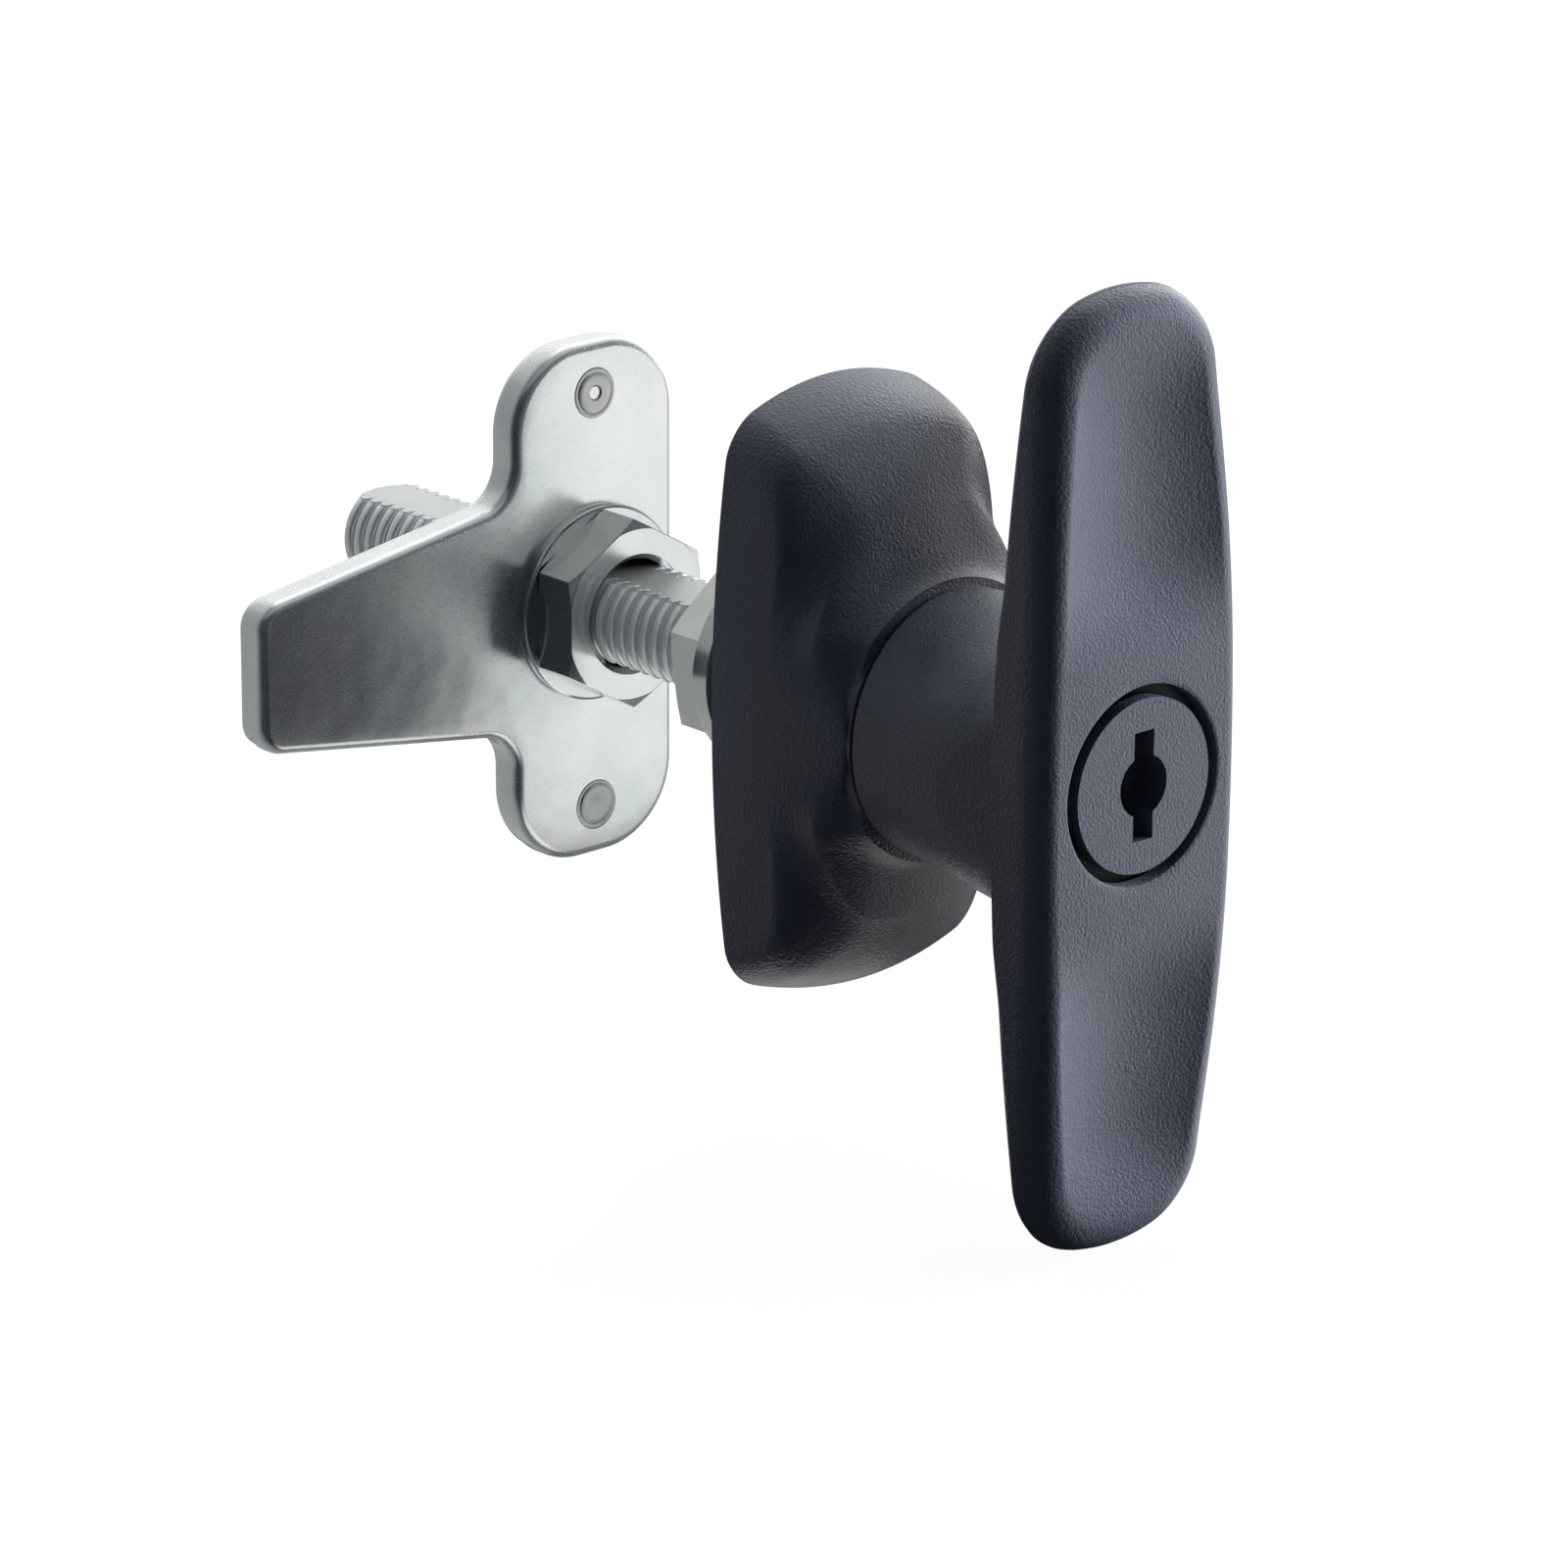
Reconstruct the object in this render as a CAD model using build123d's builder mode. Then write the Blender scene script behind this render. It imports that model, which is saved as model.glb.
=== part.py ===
from build123d import *
import math
import os

# Cabinet handle lock: a T-handle with a key lock in its neck, a rosette for the
# door, and a threaded spindle that carries a three-lobed latch plate.
# Frame: millimetres, +Z up, spindle axis along Y, origin where that axis meets
# the door face of the rosette. The handle is at -Y, the inside of the cabinet at +Y.
# Driving dimensions of the T-handle
handle_reach = 45.5
handle_length = 99.5
handle_width = 27.5
handle_tip_half = 11.3
handle_end_crown = 3.3
handle_corner = 10.8
bar_thickness = 5.4
bar_swell = 1.7
dish_start = 13.5
dish_depths = [(24.0, 0.85), (37.0, 1.15)]
tip_depth = 1.25
front_edge_radius = 1.6
rear_edge_radius = 0.8
neck_radius = 14.0
neck_root_radius = 16.2
neck_root_y = -33.5
neck_flare_radius = 21.5
journal_radius = 9.0
journal_end = -1.5

# Driving dimensions of the rosette
rosette_depth = 18.0
rosette_half_width = 16.3
rosette_half_height = 32.7
collar_radius = 13.9
rosette_quarter = [
    (22, 0.967, 0.382),
    (40, 0.911, 0.712),
    (52, 0.815, 0.884),
    (65, 0.600, 0.943),
    (78, 0.320, 0.982),
]
rosette_profile = [
    (0.0, 13.9),
    (0.06, 14.2),
    (0.12, 15.1),
    (0.16, 17.2),
    (0.2, 20.4),
    (0.27, 23.7),
    (0.36, 26.4),
    (0.46, 28.3),
    (0.58, 29.7),
    (0.72, 30.95),
    (0.86, 31.95),
    (1.0, 32.7),
]
rosette_wall = 3.0
pocket_stations = (7, 8, 9, 10, 11)
hub_radius = 11.8
rear_boss_radius = 10.0
rear_boss_length = 7.0
screw_spacing = 44.0
screw_boss_radius = 4.4
screw_tap_radius = 2.1
screw_tap_depth = 8.5
rib_thickness = 2.4
seal_width = 1.5
seal_inset = 0.75
seal_depth = 1.2

# Driving dimensions of the spindle line
spindle_radius = 5.9
spindle_flats = 9.0
spindle_front = -12.0
spindle_end = 73.4
spindle_chamfer = 1.4
socket_pin_radius = 1.5
socket_pin_y = -4.5
bush_wall = 1.5
hex_size = 18.0
nut_mouth = 0.5
spindle_nut_turn = 38
collar_nut_turn = 30
rear_nut_turn = 12
washer_radius = 10.8
flat_washer_thickness = 1.0
spring_washer_thickness = 1.1
spring_washer_split = 1.6
spindle_nut_thickness = 5.0
collar_nut_face = 30.4
collar_nut_thickness = 6.6
nut_collar_thickness = 1.2
nut_collar_radius = 10.6
toothed_washer_thickness = 1.0
washer_teeth = 16
tooth_gap_depth = 3.0
tooth_gap_width = 1.5
tooth_skew = 20
rear_nut_thickness = 6.0

# Driving dimensions of the latch plate
plate_thickness = 4.0
lobe_half_width = 11.0
lobe_half_height = 28.4
lobe_corner = 9.0
arm_reach = 44.8
arm_root_half = 13.0
arm_tip_half = 7.8
arm_tip_corner = 3.2
arm_root_fillet = 4.5
plate_edge_roll = 1.1
rod_pin_offset = 22.8
rivet_radius = 2.4
rod_pin_radius = 3.0
rod_pin_length = 4.5
rod_pin_groove = 0.35
rod_pin_groove_width = 0.8
rod_pin_groove_back = 1.0

# Driving dimensions of the lock
lock_bore_radius = 10.25
barrel_length = 20.4
plug_face_radius = 9.0
plug_face_thickness = 1.5
plug_radius = 7.0
keyway_height = 11.3
keyway_width = 2.7
keyhole_radius = 3.2
keyhole_depth = 4.0
keyway_depth = 19.0
wafer_count = 5
wafer_pitch = 3.0
wafer_thickness = 1.0
wafer_half_width = 2.6
wafer_half_height = 6.4
wafer_lift = 0.8
first_wafer_back = 4.6
clip_radius = 7.9
clip_thickness = 0.7
clip_grip = 0.7
clip_mouth = 6.0
eccentric = 2.6
drive_pin_radius = 1.25
key_turn = 90.0

# Driving dimensions of the locking bolt, the stop and the detent
bolt_thickness = 4.0
bolt_half_width = 4.2
bolt_nose_half = 2.5
bolt_tip = 8.4
bolt_top = 4.2
bolt_foot = 1.0
bolt_slot_slack = 0.15
track_radius = 11.5
stop_pin_radius = 1.25
stop_pin_reach = 1.4
stop_pin_seat = 4.0
turn_pin_radius = 1.0
turn_pin_length = 6.0
ball_radius = 1.5
ball_proud = 0.55
ball_travel = 0.25
detent_spring_length = 2.6
detent_wire = 0.4
detent_turns = 3
seal_ring_section = 1.6
seal_ring_y = -8.9
handle_turn = 90.0

# Clearances
running = 0.05
slide_gap = 0.05
face_gap = 0.1
neck_gap = 0.5

# Stations along the spindle axis
pocket_depth = rosette_depth * (1 - rosette_profile[pocket_stations[0]][0])
handle_face = -handle_reach
collar_face = -rosette_depth
neck_end = collar_face - neck_gap
barrel_face = handle_face + plug_face_thickness + face_gap
barrel_end = barrel_face + barrel_length
clip_front = barrel_end + face_gap
plug_end = clip_front + clip_thickness + 0.7
lock_chamber_end = plug_end + 1.0
bolt_rear = spindle_front - face_gap
bolt_front = bolt_rear - bolt_thickness
washer_front = rear_boss_length + face_gap
spring_washer_front = washer_front + flat_washer_thickness
spindle_nut_front = spring_washer_front + spring_washer_thickness
plate_front = collar_nut_face + collar_nut_thickness
plate_rear = plate_front + plate_thickness
rear_nut_front = plate_rear + toothed_washer_thickness
bolt_travel = eccentric * math.sqrt(2)
drive_offset = eccentric / math.sqrt(2)
bush_radius = spindle_radius + running + bush_wall
detent_floor = neck_end - detent_spring_length - 2 * ball_radius + neck_gap + ball_proud - face_gap
ball_y = collar_face + ball_proud - ball_radius
first_wafer = handle_face + first_wafer_back
wafer_groove_half = wafer_half_width + 0.15
wafer_groove_reach = wafer_half_height + wafer_lift + 0.15
stop_angle = 90
detent_angle = 225
track_slack = 0.5


def across(y):
    """Plane square to the spindle at y. Its x is +X, its y is +Z, and it looks to -Y."""
    return Plane(origin=(0, y, 0), x_dir=(1, 0, 0), z_dir=(0, -1, 0))


def ring(front, thickness, outer, bore, flats=None):
    """Flat ring, with a round bore or one that fits the spindle's flats."""
    with BuildSketch(across(front + thickness)) as disc:
        Circle(outer)
    extrude(disc.sketch, amount=thickness)
    with BuildSketch(across(front + thickness)) as hole:
        Circle(bore)
        if flats is not None:
            Rectangle(2 * bore, flats, mode=Mode.INTERSECT)
    extrude(hole.sketch, amount=thickness, mode=Mode.SUBTRACT)


def hex_nut(front, thickness, turn, collar_thickness=0.0):
    """Nut with its corners turned off at both faces, a chamfered bore and a round collar behind."""
    rear = front + thickness
    hex_rear = rear - collar_thickness
    corner = hex_size / math.sqrt(3)
    flat_radius = hex_size / 2 * 0.97
    drop = (corner - flat_radius) * math.tan(math.radians(30))
    bore = spindle_radius + running
    with BuildSketch(across(hex_rear)) as hexagon:
        RegularPolygon(radius=corner, side_count=6, rotation=turn)
    extrude(hexagon.sketch, amount=hex_rear - front)
    with BuildSketch(Plane.XY) as turned:
        with BuildLine():
            Polyline(
                (bore + nut_mouth, front),
                (flat_radius, front),
                (corner, front + drop),
                (corner, hex_rear - drop),
                (flat_radius, hex_rear),
                (bore + nut_mouth, hex_rear),
                (bore, hex_rear - nut_mouth),
                (bore, front + nut_mouth),
                close=True,
            )
        make_face()
    revolve(turned.sketch, axis=Axis.Y, mode=Mode.INTERSECT)
    if collar_thickness:
        ring(hex_rear, collar_thickness, nut_collar_radius, bore + nut_mouth)


def rosette_face(station, inset=0.0, mode=Mode.ADD):
    """Face of the rosette's outline at a station, in four equal quarters. The outline is
    a circle at the collar and grows into the bowed, squarish outline at the door."""
    t, half_height = rosette_profile[station]
    half_width = collar_radius + (rosette_half_width - collar_radius) * t - inset
    half_height -= inset
    squareness = t**0.75
    with BuildLine() as quarters:
        for side_x, side_z in ((1, 1), (-1, 1), (-1, -1), (1, -1)):
            points = [(side_x * half_width, 0)]
            for angle, door_x, door_z in rosette_quarter:
                x = (1 - squareness) * math.cos(math.radians(angle)) + squareness * door_x
                z = (1 - squareness) * math.sin(math.radians(angle)) + squareness * door_z
                points.append((side_x * half_width * x, side_z * half_height * z))
            points.append((0, side_z * half_height))
            Spline(*points, tangents=[(0, side_z), (-side_x, 0)])
    make_face(quarters.edges(), mode=mode)


os.makedirs("parts", exist_ok=True)

# T-handle: bar, neck and journal in one casting
half_length = handle_length / 2
half_width = handle_width / 2
corner_z = half_length - handle_end_crown
bar_tip_rear = handle_face + bar_thickness
bar_middle_rear = bar_tip_rear + bar_swell
past_tip = half_length + 1
with BuildPart() as handle_side:
    with BuildSketch(Plane.YZ.offset(-half_width - 1)):
        with BuildLine():
            Line((handle_face, -dish_start), (handle_face, dish_start))
            for side in (1, -1):
                Spline(
                    (handle_face, side * dish_start),
                    *[(handle_face + depth, side * z) for z, depth in dish_depths],
                    (handle_face + tip_depth, side * past_tip),
                    tangents=[(0, side), (0, side)],
                )
                Line((handle_face + tip_depth, side * past_tip), (bar_tip_rear, side * past_tip))
            ThreePointArc((bar_tip_rear, -past_tip), (bar_middle_rear, 0), (bar_tip_rear, past_tip))
        make_face()
    extrude(amount=handle_width + 2)
    with BuildSketch(Plane.XY):
        with BuildLine():
            Polyline((0, handle_face + 2), (0, neck_end), (neck_radius, neck_end), (neck_root_radius, neck_root_y))
            cone = (neck_root_radius - neck_radius, neck_root_y - neck_end)
            Spline(
                (neck_root_radius, neck_root_y),
                (neck_flare_radius, bar_tip_rear),
                tangents=[cone, (1, 0)],
            )
            Polyline(
                (neck_flare_radius, bar_tip_rear),
                (neck_flare_radius, handle_face + 2),
                (0, handle_face + 2),
            )
        make_face()
    revolve(axis=Axis.Y)

with BuildPart() as t_handle:
    with BuildSketch(across(neck_end)) as handle_outline:
        with BuildLine():
            for side in (1, -1):
                ThreePointArc(
                    (side * handle_tip_half, -corner_z),
                    (side * half_width, 0),
                    (side * handle_tip_half, corner_z),
                )
                ThreePointArc(
                    (-handle_tip_half, side * corner_z),
                    (0, side * half_length),
                    (handle_tip_half, side * corner_z),
                )
        make_face()
        fillet(handle_outline.vertices(), handle_corner)
    extrude(amount=neck_end - handle_face)
    add(handle_side.part, mode=Mode.INTERSECT)
    rim = t_handle.edges().filter_by(
        lambda e: e.center().Y < handle_face + tip_depth + 0.2
        and (abs(e.position_at(0.5).X) > 5 or abs(e.position_at(0.5).Z) > corner_z)
    )
    fillet(rim, front_edge_radius)
    back = t_handle.edges().filter_by(
        lambda e: e.center().Y > bar_tip_rear - 0.3
        and e.center().Y < bar_middle_rear
        and abs(e.position_at(0.5).Z) > neck_flare_radius
    )
    fillet(back, rear_edge_radius)
    # Journal that runs in the rosette
    with BuildSketch(across(journal_end)):
        Circle(journal_radius)
    extrude(amount=journal_end - neck_end)
    # Bore of the lock, chamber of its clip and well of its drive pin
    with BuildSketch(across(barrel_end)):
        Circle(lock_bore_radius)
    extrude(amount=barrel_end - handle_face, mode=Mode.SUBTRACT)
    with BuildSketch(across(lock_chamber_end)):
        Circle(clip_radius + 0.3)
    extrude(amount=lock_chamber_end - barrel_end, mode=Mode.SUBTRACT)
    with BuildSketch(across(bolt_front)):
        Circle(eccentric + drive_pin_radius + 0.5)
    extrude(amount=bolt_front - lock_chamber_end, mode=Mode.SUBTRACT)
    # Chamber and nose slot of the locking bolt, which opens towards -Z
    with BuildSketch(across(spindle_front)):
        with Locations((0, (bolt_top - bolt_foot - bolt_travel) / 2)):
            Rectangle(
                2 * (bolt_half_width + slide_gap),
                bolt_top + bolt_foot + bolt_travel + 2 * slide_gap,
            )
        with Locations((0, -journal_radius)):
            Rectangle(2 * (bolt_nose_half + slide_gap), 2 * journal_radius)
    extrude(amount=spindle_front - bolt_front + face_gap, mode=Mode.SUBTRACT)
    # Socket of the spindle, hole of its cross pin and groove of the seal ring
    with BuildSketch(across(journal_end)):
        Circle(spindle_radius + running)
    extrude(amount=journal_end - spindle_front, mode=Mode.SUBTRACT)
    with BuildSketch(Plane.YZ.offset(-journal_radius)):
        with Locations((socket_pin_y, 0)):
            Circle(socket_pin_radius)
    extrude(amount=2 * journal_radius, mode=Mode.SUBTRACT)
    with BuildSketch(across(seal_ring_y + seal_ring_section)):
        Circle(journal_radius)
        Circle(journal_radius - seal_ring_section, mode=Mode.SUBTRACT)
    extrude(amount=seal_ring_section, mode=Mode.SUBTRACT)
    # Seats of the stop pin, the detent and the pin that keeps the barrel from turning
    with BuildSketch(across(neck_end)):
        with PolarLocations(track_radius, 1, start_angle=stop_angle):
            Circle(stop_pin_radius)
    extrude(amount=stop_pin_seat, mode=Mode.SUBTRACT)
    with BuildSketch(across(neck_end)):
        with PolarLocations(track_radius, 1, start_angle=detent_angle):
            Circle(ball_radius + running)
    extrude(amount=neck_end - detent_floor, mode=Mode.SUBTRACT)
    with BuildSketch(across(barrel_end)):
        with Locations((0, lock_bore_radius)):
            Circle(turn_pin_radius)
    extrude(amount=turn_pin_length, mode=Mode.SUBTRACT)
t_handle.part.label = "t_handle"
export_step(t_handle.part, "parts/t_handle.step")

# Rosette: a domed casting, hollow behind, with hub, locating boss, two screw bosses and ribs
with BuildPart() as rosette_dome:
    for station, (t, half_height) in enumerate(rosette_profile):
        with BuildSketch(across(collar_face + t * rosette_depth)):
            rosette_face(station)
    loft()
with BuildPart() as rosette_hollow:
    for station in pocket_stations:
        with BuildSketch(across(collar_face + rosette_profile[station][0] * rosette_depth)):
            rosette_face(station, rosette_wall)
    loft()
with BuildPart() as rosette_frame:
    with BuildSketch(across(0)):
        Circle(hub_radius)
        with Locations((0, screw_spacing / 2), (0, -screw_spacing / 2)):
            Circle(screw_boss_radius)
        Rectangle(rib_thickness, 2 * rosette_half_height)
        Rectangle(2 * rosette_half_width, rib_thickness)
    extrude(amount=pocket_depth)
    add(rosette_hollow.part, mode=Mode.INTERSECT)
with BuildPart() as rosette:
    add(rosette_dome.part)
    add(rosette_hollow.part, mode=Mode.SUBTRACT)
    add(rosette_frame.part)
    with BuildSketch(across(rear_boss_length)):
        Circle(rear_boss_radius)
    extrude(amount=rear_boss_length)
    with BuildSketch(across(journal_end + face_gap)):
        Circle(journal_radius + running)
    extrude(amount=rosette_depth + journal_end + face_gap, mode=Mode.SUBTRACT)
    with BuildSketch(across(rear_boss_length)):
        Circle(bush_radius)
    extrude(amount=rear_boss_length - journal_end - face_gap, mode=Mode.SUBTRACT)
    # Pockets that take the bolt at both ends of the handle's turn
    with BuildSketch(across(bolt_rear + face_gap)):
        for angle in (0, handle_turn):
            with Locations(Location((0, 0, 0), (0, 0, -angle))):
                with Locations((0, -(bolt_tip + bolt_travel + face_gap) / 2)):
                    Rectangle(
                        2 * (bolt_nose_half + 2 * slide_gap),
                        bolt_tip + bolt_travel + face_gap,
                    )
    extrude(amount=bolt_thickness + 2 * face_gap, mode=Mode.SUBTRACT)
    # Tracks of the stop pin and the detent ball, with a dimple at both ends of the ball's
    with BuildSketch(across(collar_face + stop_pin_reach + face_gap)):
        with BuildLine(mode=Mode.PRIVATE) as stop_track:
            CenterArc((0, 0), track_radius, stop_angle - handle_turn - track_slack, handle_turn + 2 * track_slack)
        SlotArc(stop_track.wire(), 2 * (stop_pin_radius + running))
    extrude(amount=stop_pin_reach + face_gap, mode=Mode.SUBTRACT)
    with BuildSketch(across(collar_face + ball_proud + face_gap)):
        with BuildLine(mode=Mode.PRIVATE) as ball_track:
            CenterArc((0, 0), track_radius, detent_angle - handle_turn, handle_turn)
        SlotArc(ball_track.wire(), 2 * (ball_radius - 0.2))
    extrude(amount=ball_proud + face_gap, mode=Mode.SUBTRACT)
    for angle in (detent_angle, detent_angle - handle_turn):
        turned = math.radians(angle)
        with Locations((
            track_radius * math.cos(turned),
            ball_y + ball_travel,
            track_radius * math.sin(turned),
        )):
            Sphere(ball_radius + face_gap, mode=Mode.SUBTRACT)
    # Tapped holes of the fixing screws and groove of the rear seal
    with BuildSketch(across(0)):
        with Locations((0, screw_spacing / 2), (0, -screw_spacing / 2)):
            Circle(screw_tap_radius)
    extrude(amount=screw_tap_depth, mode=Mode.SUBTRACT)
    with BuildSketch(across(0)):
        rosette_face(-1, seal_inset)
        rosette_face(-1, seal_inset + seal_width, Mode.SUBTRACT)
    extrude(amount=seal_depth, mode=Mode.SUBTRACT)
rosette.part.label = "rosette"
export_step(rosette.part, "parts/rosette.step")

# Seal pressed in the groove at the rosette's rim
with BuildPart() as rear_seal:
    with BuildSketch(across(0)):
        rosette_face(-1, seal_inset)
        rosette_face(-1, seal_inset + seal_width, Mode.SUBTRACT)
    extrude(amount=seal_depth)
rear_seal.part.label = "rear_seal"
export_step(rear_seal.part, "parts/rear_seal.step")

# Plain bush that carries the spindle in the rosette's boss
with BuildPart() as spindle_bush:
    ring(
        journal_end + face_gap,
        rear_boss_length - journal_end - face_gap,
        bush_radius,
        spindle_radius + running,
    )
spindle_bush.part.label = "spindle_bush"
export_step(spindle_bush.part, "parts/spindle_bush.step")

# Spindle: round in its socket and bush, flattened above and below along its thread
with BuildPart() as spindle:
    with BuildSketch(across(washer_front)):
        Circle(spindle_radius)
    extrude(amount=washer_front - spindle_front)
    with BuildSketch(across(spindle_end)):
        Circle(spindle_radius)
        Rectangle(2 * spindle_radius, spindle_flats, mode=Mode.INTERSECT)
    extrude(amount=spindle_end - washer_front)
    with BuildSketch(Plane.XY):
        with BuildLine():
            Polyline(
                (0, spindle_front),
                (spindle_radius, spindle_front),
                (spindle_radius, spindle_end - spindle_chamfer),
                (spindle_radius - spindle_chamfer, spindle_end),
                (0, spindle_end),
                close=True,
            )
        make_face()
    revolve(axis=Axis.Y, mode=Mode.INTERSECT)
    with BuildSketch(Plane.YZ.offset(-spindle_radius)):
        with Locations((socket_pin_y, 0)):
            Circle(socket_pin_radius)
    extrude(amount=2 * spindle_radius, mode=Mode.SUBTRACT)
spindle.part.label = "spindle"
export_step(spindle.part, "parts/spindle.step")

with BuildPart() as cross_pin:
    with BuildSketch(Plane.YZ.offset(face_gap - journal_radius)):
        with Locations((socket_pin_y, 0)):
            Circle(socket_pin_radius)
    extrude(amount=2 * (journal_radius - face_gap))
    chamfer(cross_pin.edges(), 0.2)
cross_pin.part.label = "cross_pin"
export_step(cross_pin.part, "parts/cross_pin.step")

with BuildPart() as seal_ring:
    with BuildSketch(Plane.XY):
        with Locations((journal_radius - seal_ring_section / 2, seal_ring_y + seal_ring_section / 2)):
            Circle(seal_ring_section / 2)
    revolve(axis=Axis.Y)
seal_ring.part.label = "seal_ring"
export_step(seal_ring.part, "parts/seal_ring.step")

# Washers and nuts on the spindle, from the rosette to the end
with BuildPart() as flat_washer:
    ring(
        washer_front,
        flat_washer_thickness,
        washer_radius,
        spindle_radius + running,
        spindle_flats + 2 * running,
    )
flat_washer.part.label = "flat_washer"
export_step(flat_washer.part, "parts/flat_washer.step")

with BuildPart() as spring_washer:
    ring(spring_washer_front, spring_washer_thickness, washer_radius, spindle_radius + 4 * running)
    with BuildSketch(across(spring_washer_front + spring_washer_thickness)):
        with Locations((washer_radius, 0)):
            Rectangle(washer_radius + 2, spring_washer_split, rotation=25)
    extrude(amount=spring_washer_thickness, mode=Mode.SUBTRACT)
spring_washer.part.label = "spring_washer"
export_step(spring_washer.part, "parts/spring_washer.step")

with BuildPart() as spindle_nut:
    hex_nut(spindle_nut_front, spindle_nut_thickness, spindle_nut_turn)
spindle_nut.part.label = "spindle_nut"
export_step(spindle_nut.part, "parts/spindle_nut.step")

with BuildPart() as collar_nut:
    hex_nut(collar_nut_face, collar_nut_thickness, collar_nut_turn, nut_collar_thickness)
collar_nut.part.label = "collar_nut"
export_step(collar_nut.part, "parts/collar_nut.step")

with BuildPart() as toothed_washer:
    ring(plate_rear, toothed_washer_thickness, nut_collar_radius, spindle_radius + 4 * running)
    with BuildSketch(across(plate_rear + toothed_washer_thickness)):
        with PolarLocations(nut_collar_radius, washer_teeth):
            Rectangle(tooth_gap_depth, tooth_gap_width, rotation=tooth_skew)
    extrude(amount=toothed_washer_thickness, mode=Mode.SUBTRACT)
toothed_washer.part.label = "toothed_washer"
export_step(toothed_washer.part, "parts/toothed_washer.step")

with BuildPart() as rear_lock_nut:
    hex_nut(rear_nut_front, rear_nut_thickness, rear_nut_turn)
rear_lock_nut.part.label = "rear_lock_nut"
export_step(rear_lock_nut.part, "parts/rear_lock_nut.step")

# Latch plate: two lobes for the rods and one tapering arm, with rolled front edges
with BuildPart() as latch_plate:
    with BuildSketch(across(plate_rear)) as plate_outline:
        with BuildLine():
            Polyline(
                (lobe_half_width, -lobe_half_height),
                (lobe_half_width, lobe_half_height),
                (-lobe_half_width, lobe_half_height),
                (-lobe_half_width, arm_root_half),
                (-arm_reach, arm_tip_half),
                (-arm_reach, -arm_tip_half),
                (-lobe_half_width, -arm_root_half),
                (-lobe_half_width, -lobe_half_height),
                close=True,
            )
        make_face()
        corners = plate_outline.vertices()
        fillet(corners.filter_by(lambda v: abs(v.Y) > lobe_half_height - 1), lobe_corner)
        corners = plate_outline.vertices()
        fillet(corners.filter_by(lambda v: v.X < 1 - arm_reach), arm_tip_corner)
        corners = plate_outline.vertices()
        roots = corners.filter_by(
            lambda v: abs(v.X + lobe_half_width) < 0.01 and abs(abs(v.Y) - arm_root_half) < 0.01
        )
        fillet(roots, arm_root_fillet)
    extrude(amount=plate_thickness)
    front_edges = latch_plate.faces().sort_by(Axis.Y)[0].edges()
    fillet(front_edges, plate_edge_roll)
    with BuildSketch(across(plate_rear)):
        Circle(spindle_radius + running)
        Rectangle(2 * spindle_radius + 1, spindle_flats + 2 * running, mode=Mode.INTERSECT)
        with Locations((0, rod_pin_offset), (0, -rod_pin_offset)):
            Circle(rivet_radius)
    extrude(amount=plate_thickness, mode=Mode.SUBTRACT)
latch_plate.part.label = "latch_plate"
export_step(latch_plate.part, "parts/latch_plate.step")

# Rod pins: riveted flush in the lobes, with a groove for the rod's clip behind
for name, side in (("upper_rod_pin", 1), ("lower_rod_pin", -1)):
    with BuildPart() as rod_pin:
        with BuildSketch(across(plate_rear)):
            with Locations((0, side * rod_pin_offset)):
                Circle(rivet_radius)
        extrude(amount=plate_thickness)
        with BuildSketch(across(plate_rear + rod_pin_length)):
            with Locations((0, side * rod_pin_offset)):
                Circle(rod_pin_radius)
        extrude(amount=rod_pin_length)
        chamfer(rod_pin.faces().sort_by(Axis.Y)[-1].edges(), rod_pin_groove)
        with BuildSketch(across(plate_rear + rod_pin_length - rod_pin_groove_back)):
            with Locations((0, side * rod_pin_offset)):
                Circle(rod_pin_radius)
                Circle(rod_pin_radius - rod_pin_groove, mode=Mode.SUBTRACT)
        extrude(amount=rod_pin_groove_width, mode=Mode.SUBTRACT)
    rod_pin.part.label = name
    export_step(rod_pin.part, f"parts/{name}.step")

# Lock barrel, fixed in the handle, with grooves for the wafers at every quarter
with BuildPart() as lock_barrel:
    with BuildSketch(across(barrel_end)):
        Circle(lock_bore_radius - running)
        Circle(plug_radius + running, mode=Mode.SUBTRACT)
        with Locations((0, lock_bore_radius)):
            Circle(turn_pin_radius, mode=Mode.SUBTRACT)
    extrude(amount=turn_pin_length)
    with BuildSketch(across(barrel_end - turn_pin_length)):
        Circle(lock_bore_radius - running)
        Circle(plug_radius + running, mode=Mode.SUBTRACT)
    extrude(amount=barrel_length - turn_pin_length)
    with BuildSketch(across(barrel_end)):
        Rectangle(2 * wafer_groove_half, 2 * wafer_groove_reach)
        Rectangle(2 * wafer_groove_reach, 2 * wafer_groove_half)
    extrude(amount=barrel_end - first_wafer + face_gap, mode=Mode.SUBTRACT)
lock_barrel.part.label = "lock_barrel"
export_step(lock_barrel.part, "parts/lock_barrel.step")

with BuildPart() as barrel_turn_pin:
    with BuildSketch(across(barrel_end)):
        with Locations((0, lock_bore_radius)):
            Circle(turn_pin_radius)
    extrude(amount=turn_pin_length)
barrel_turn_pin.part.label = "barrel_turn_pin"
export_step(barrel_turn_pin.part, "parts/barrel_turn_pin.step")

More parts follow.
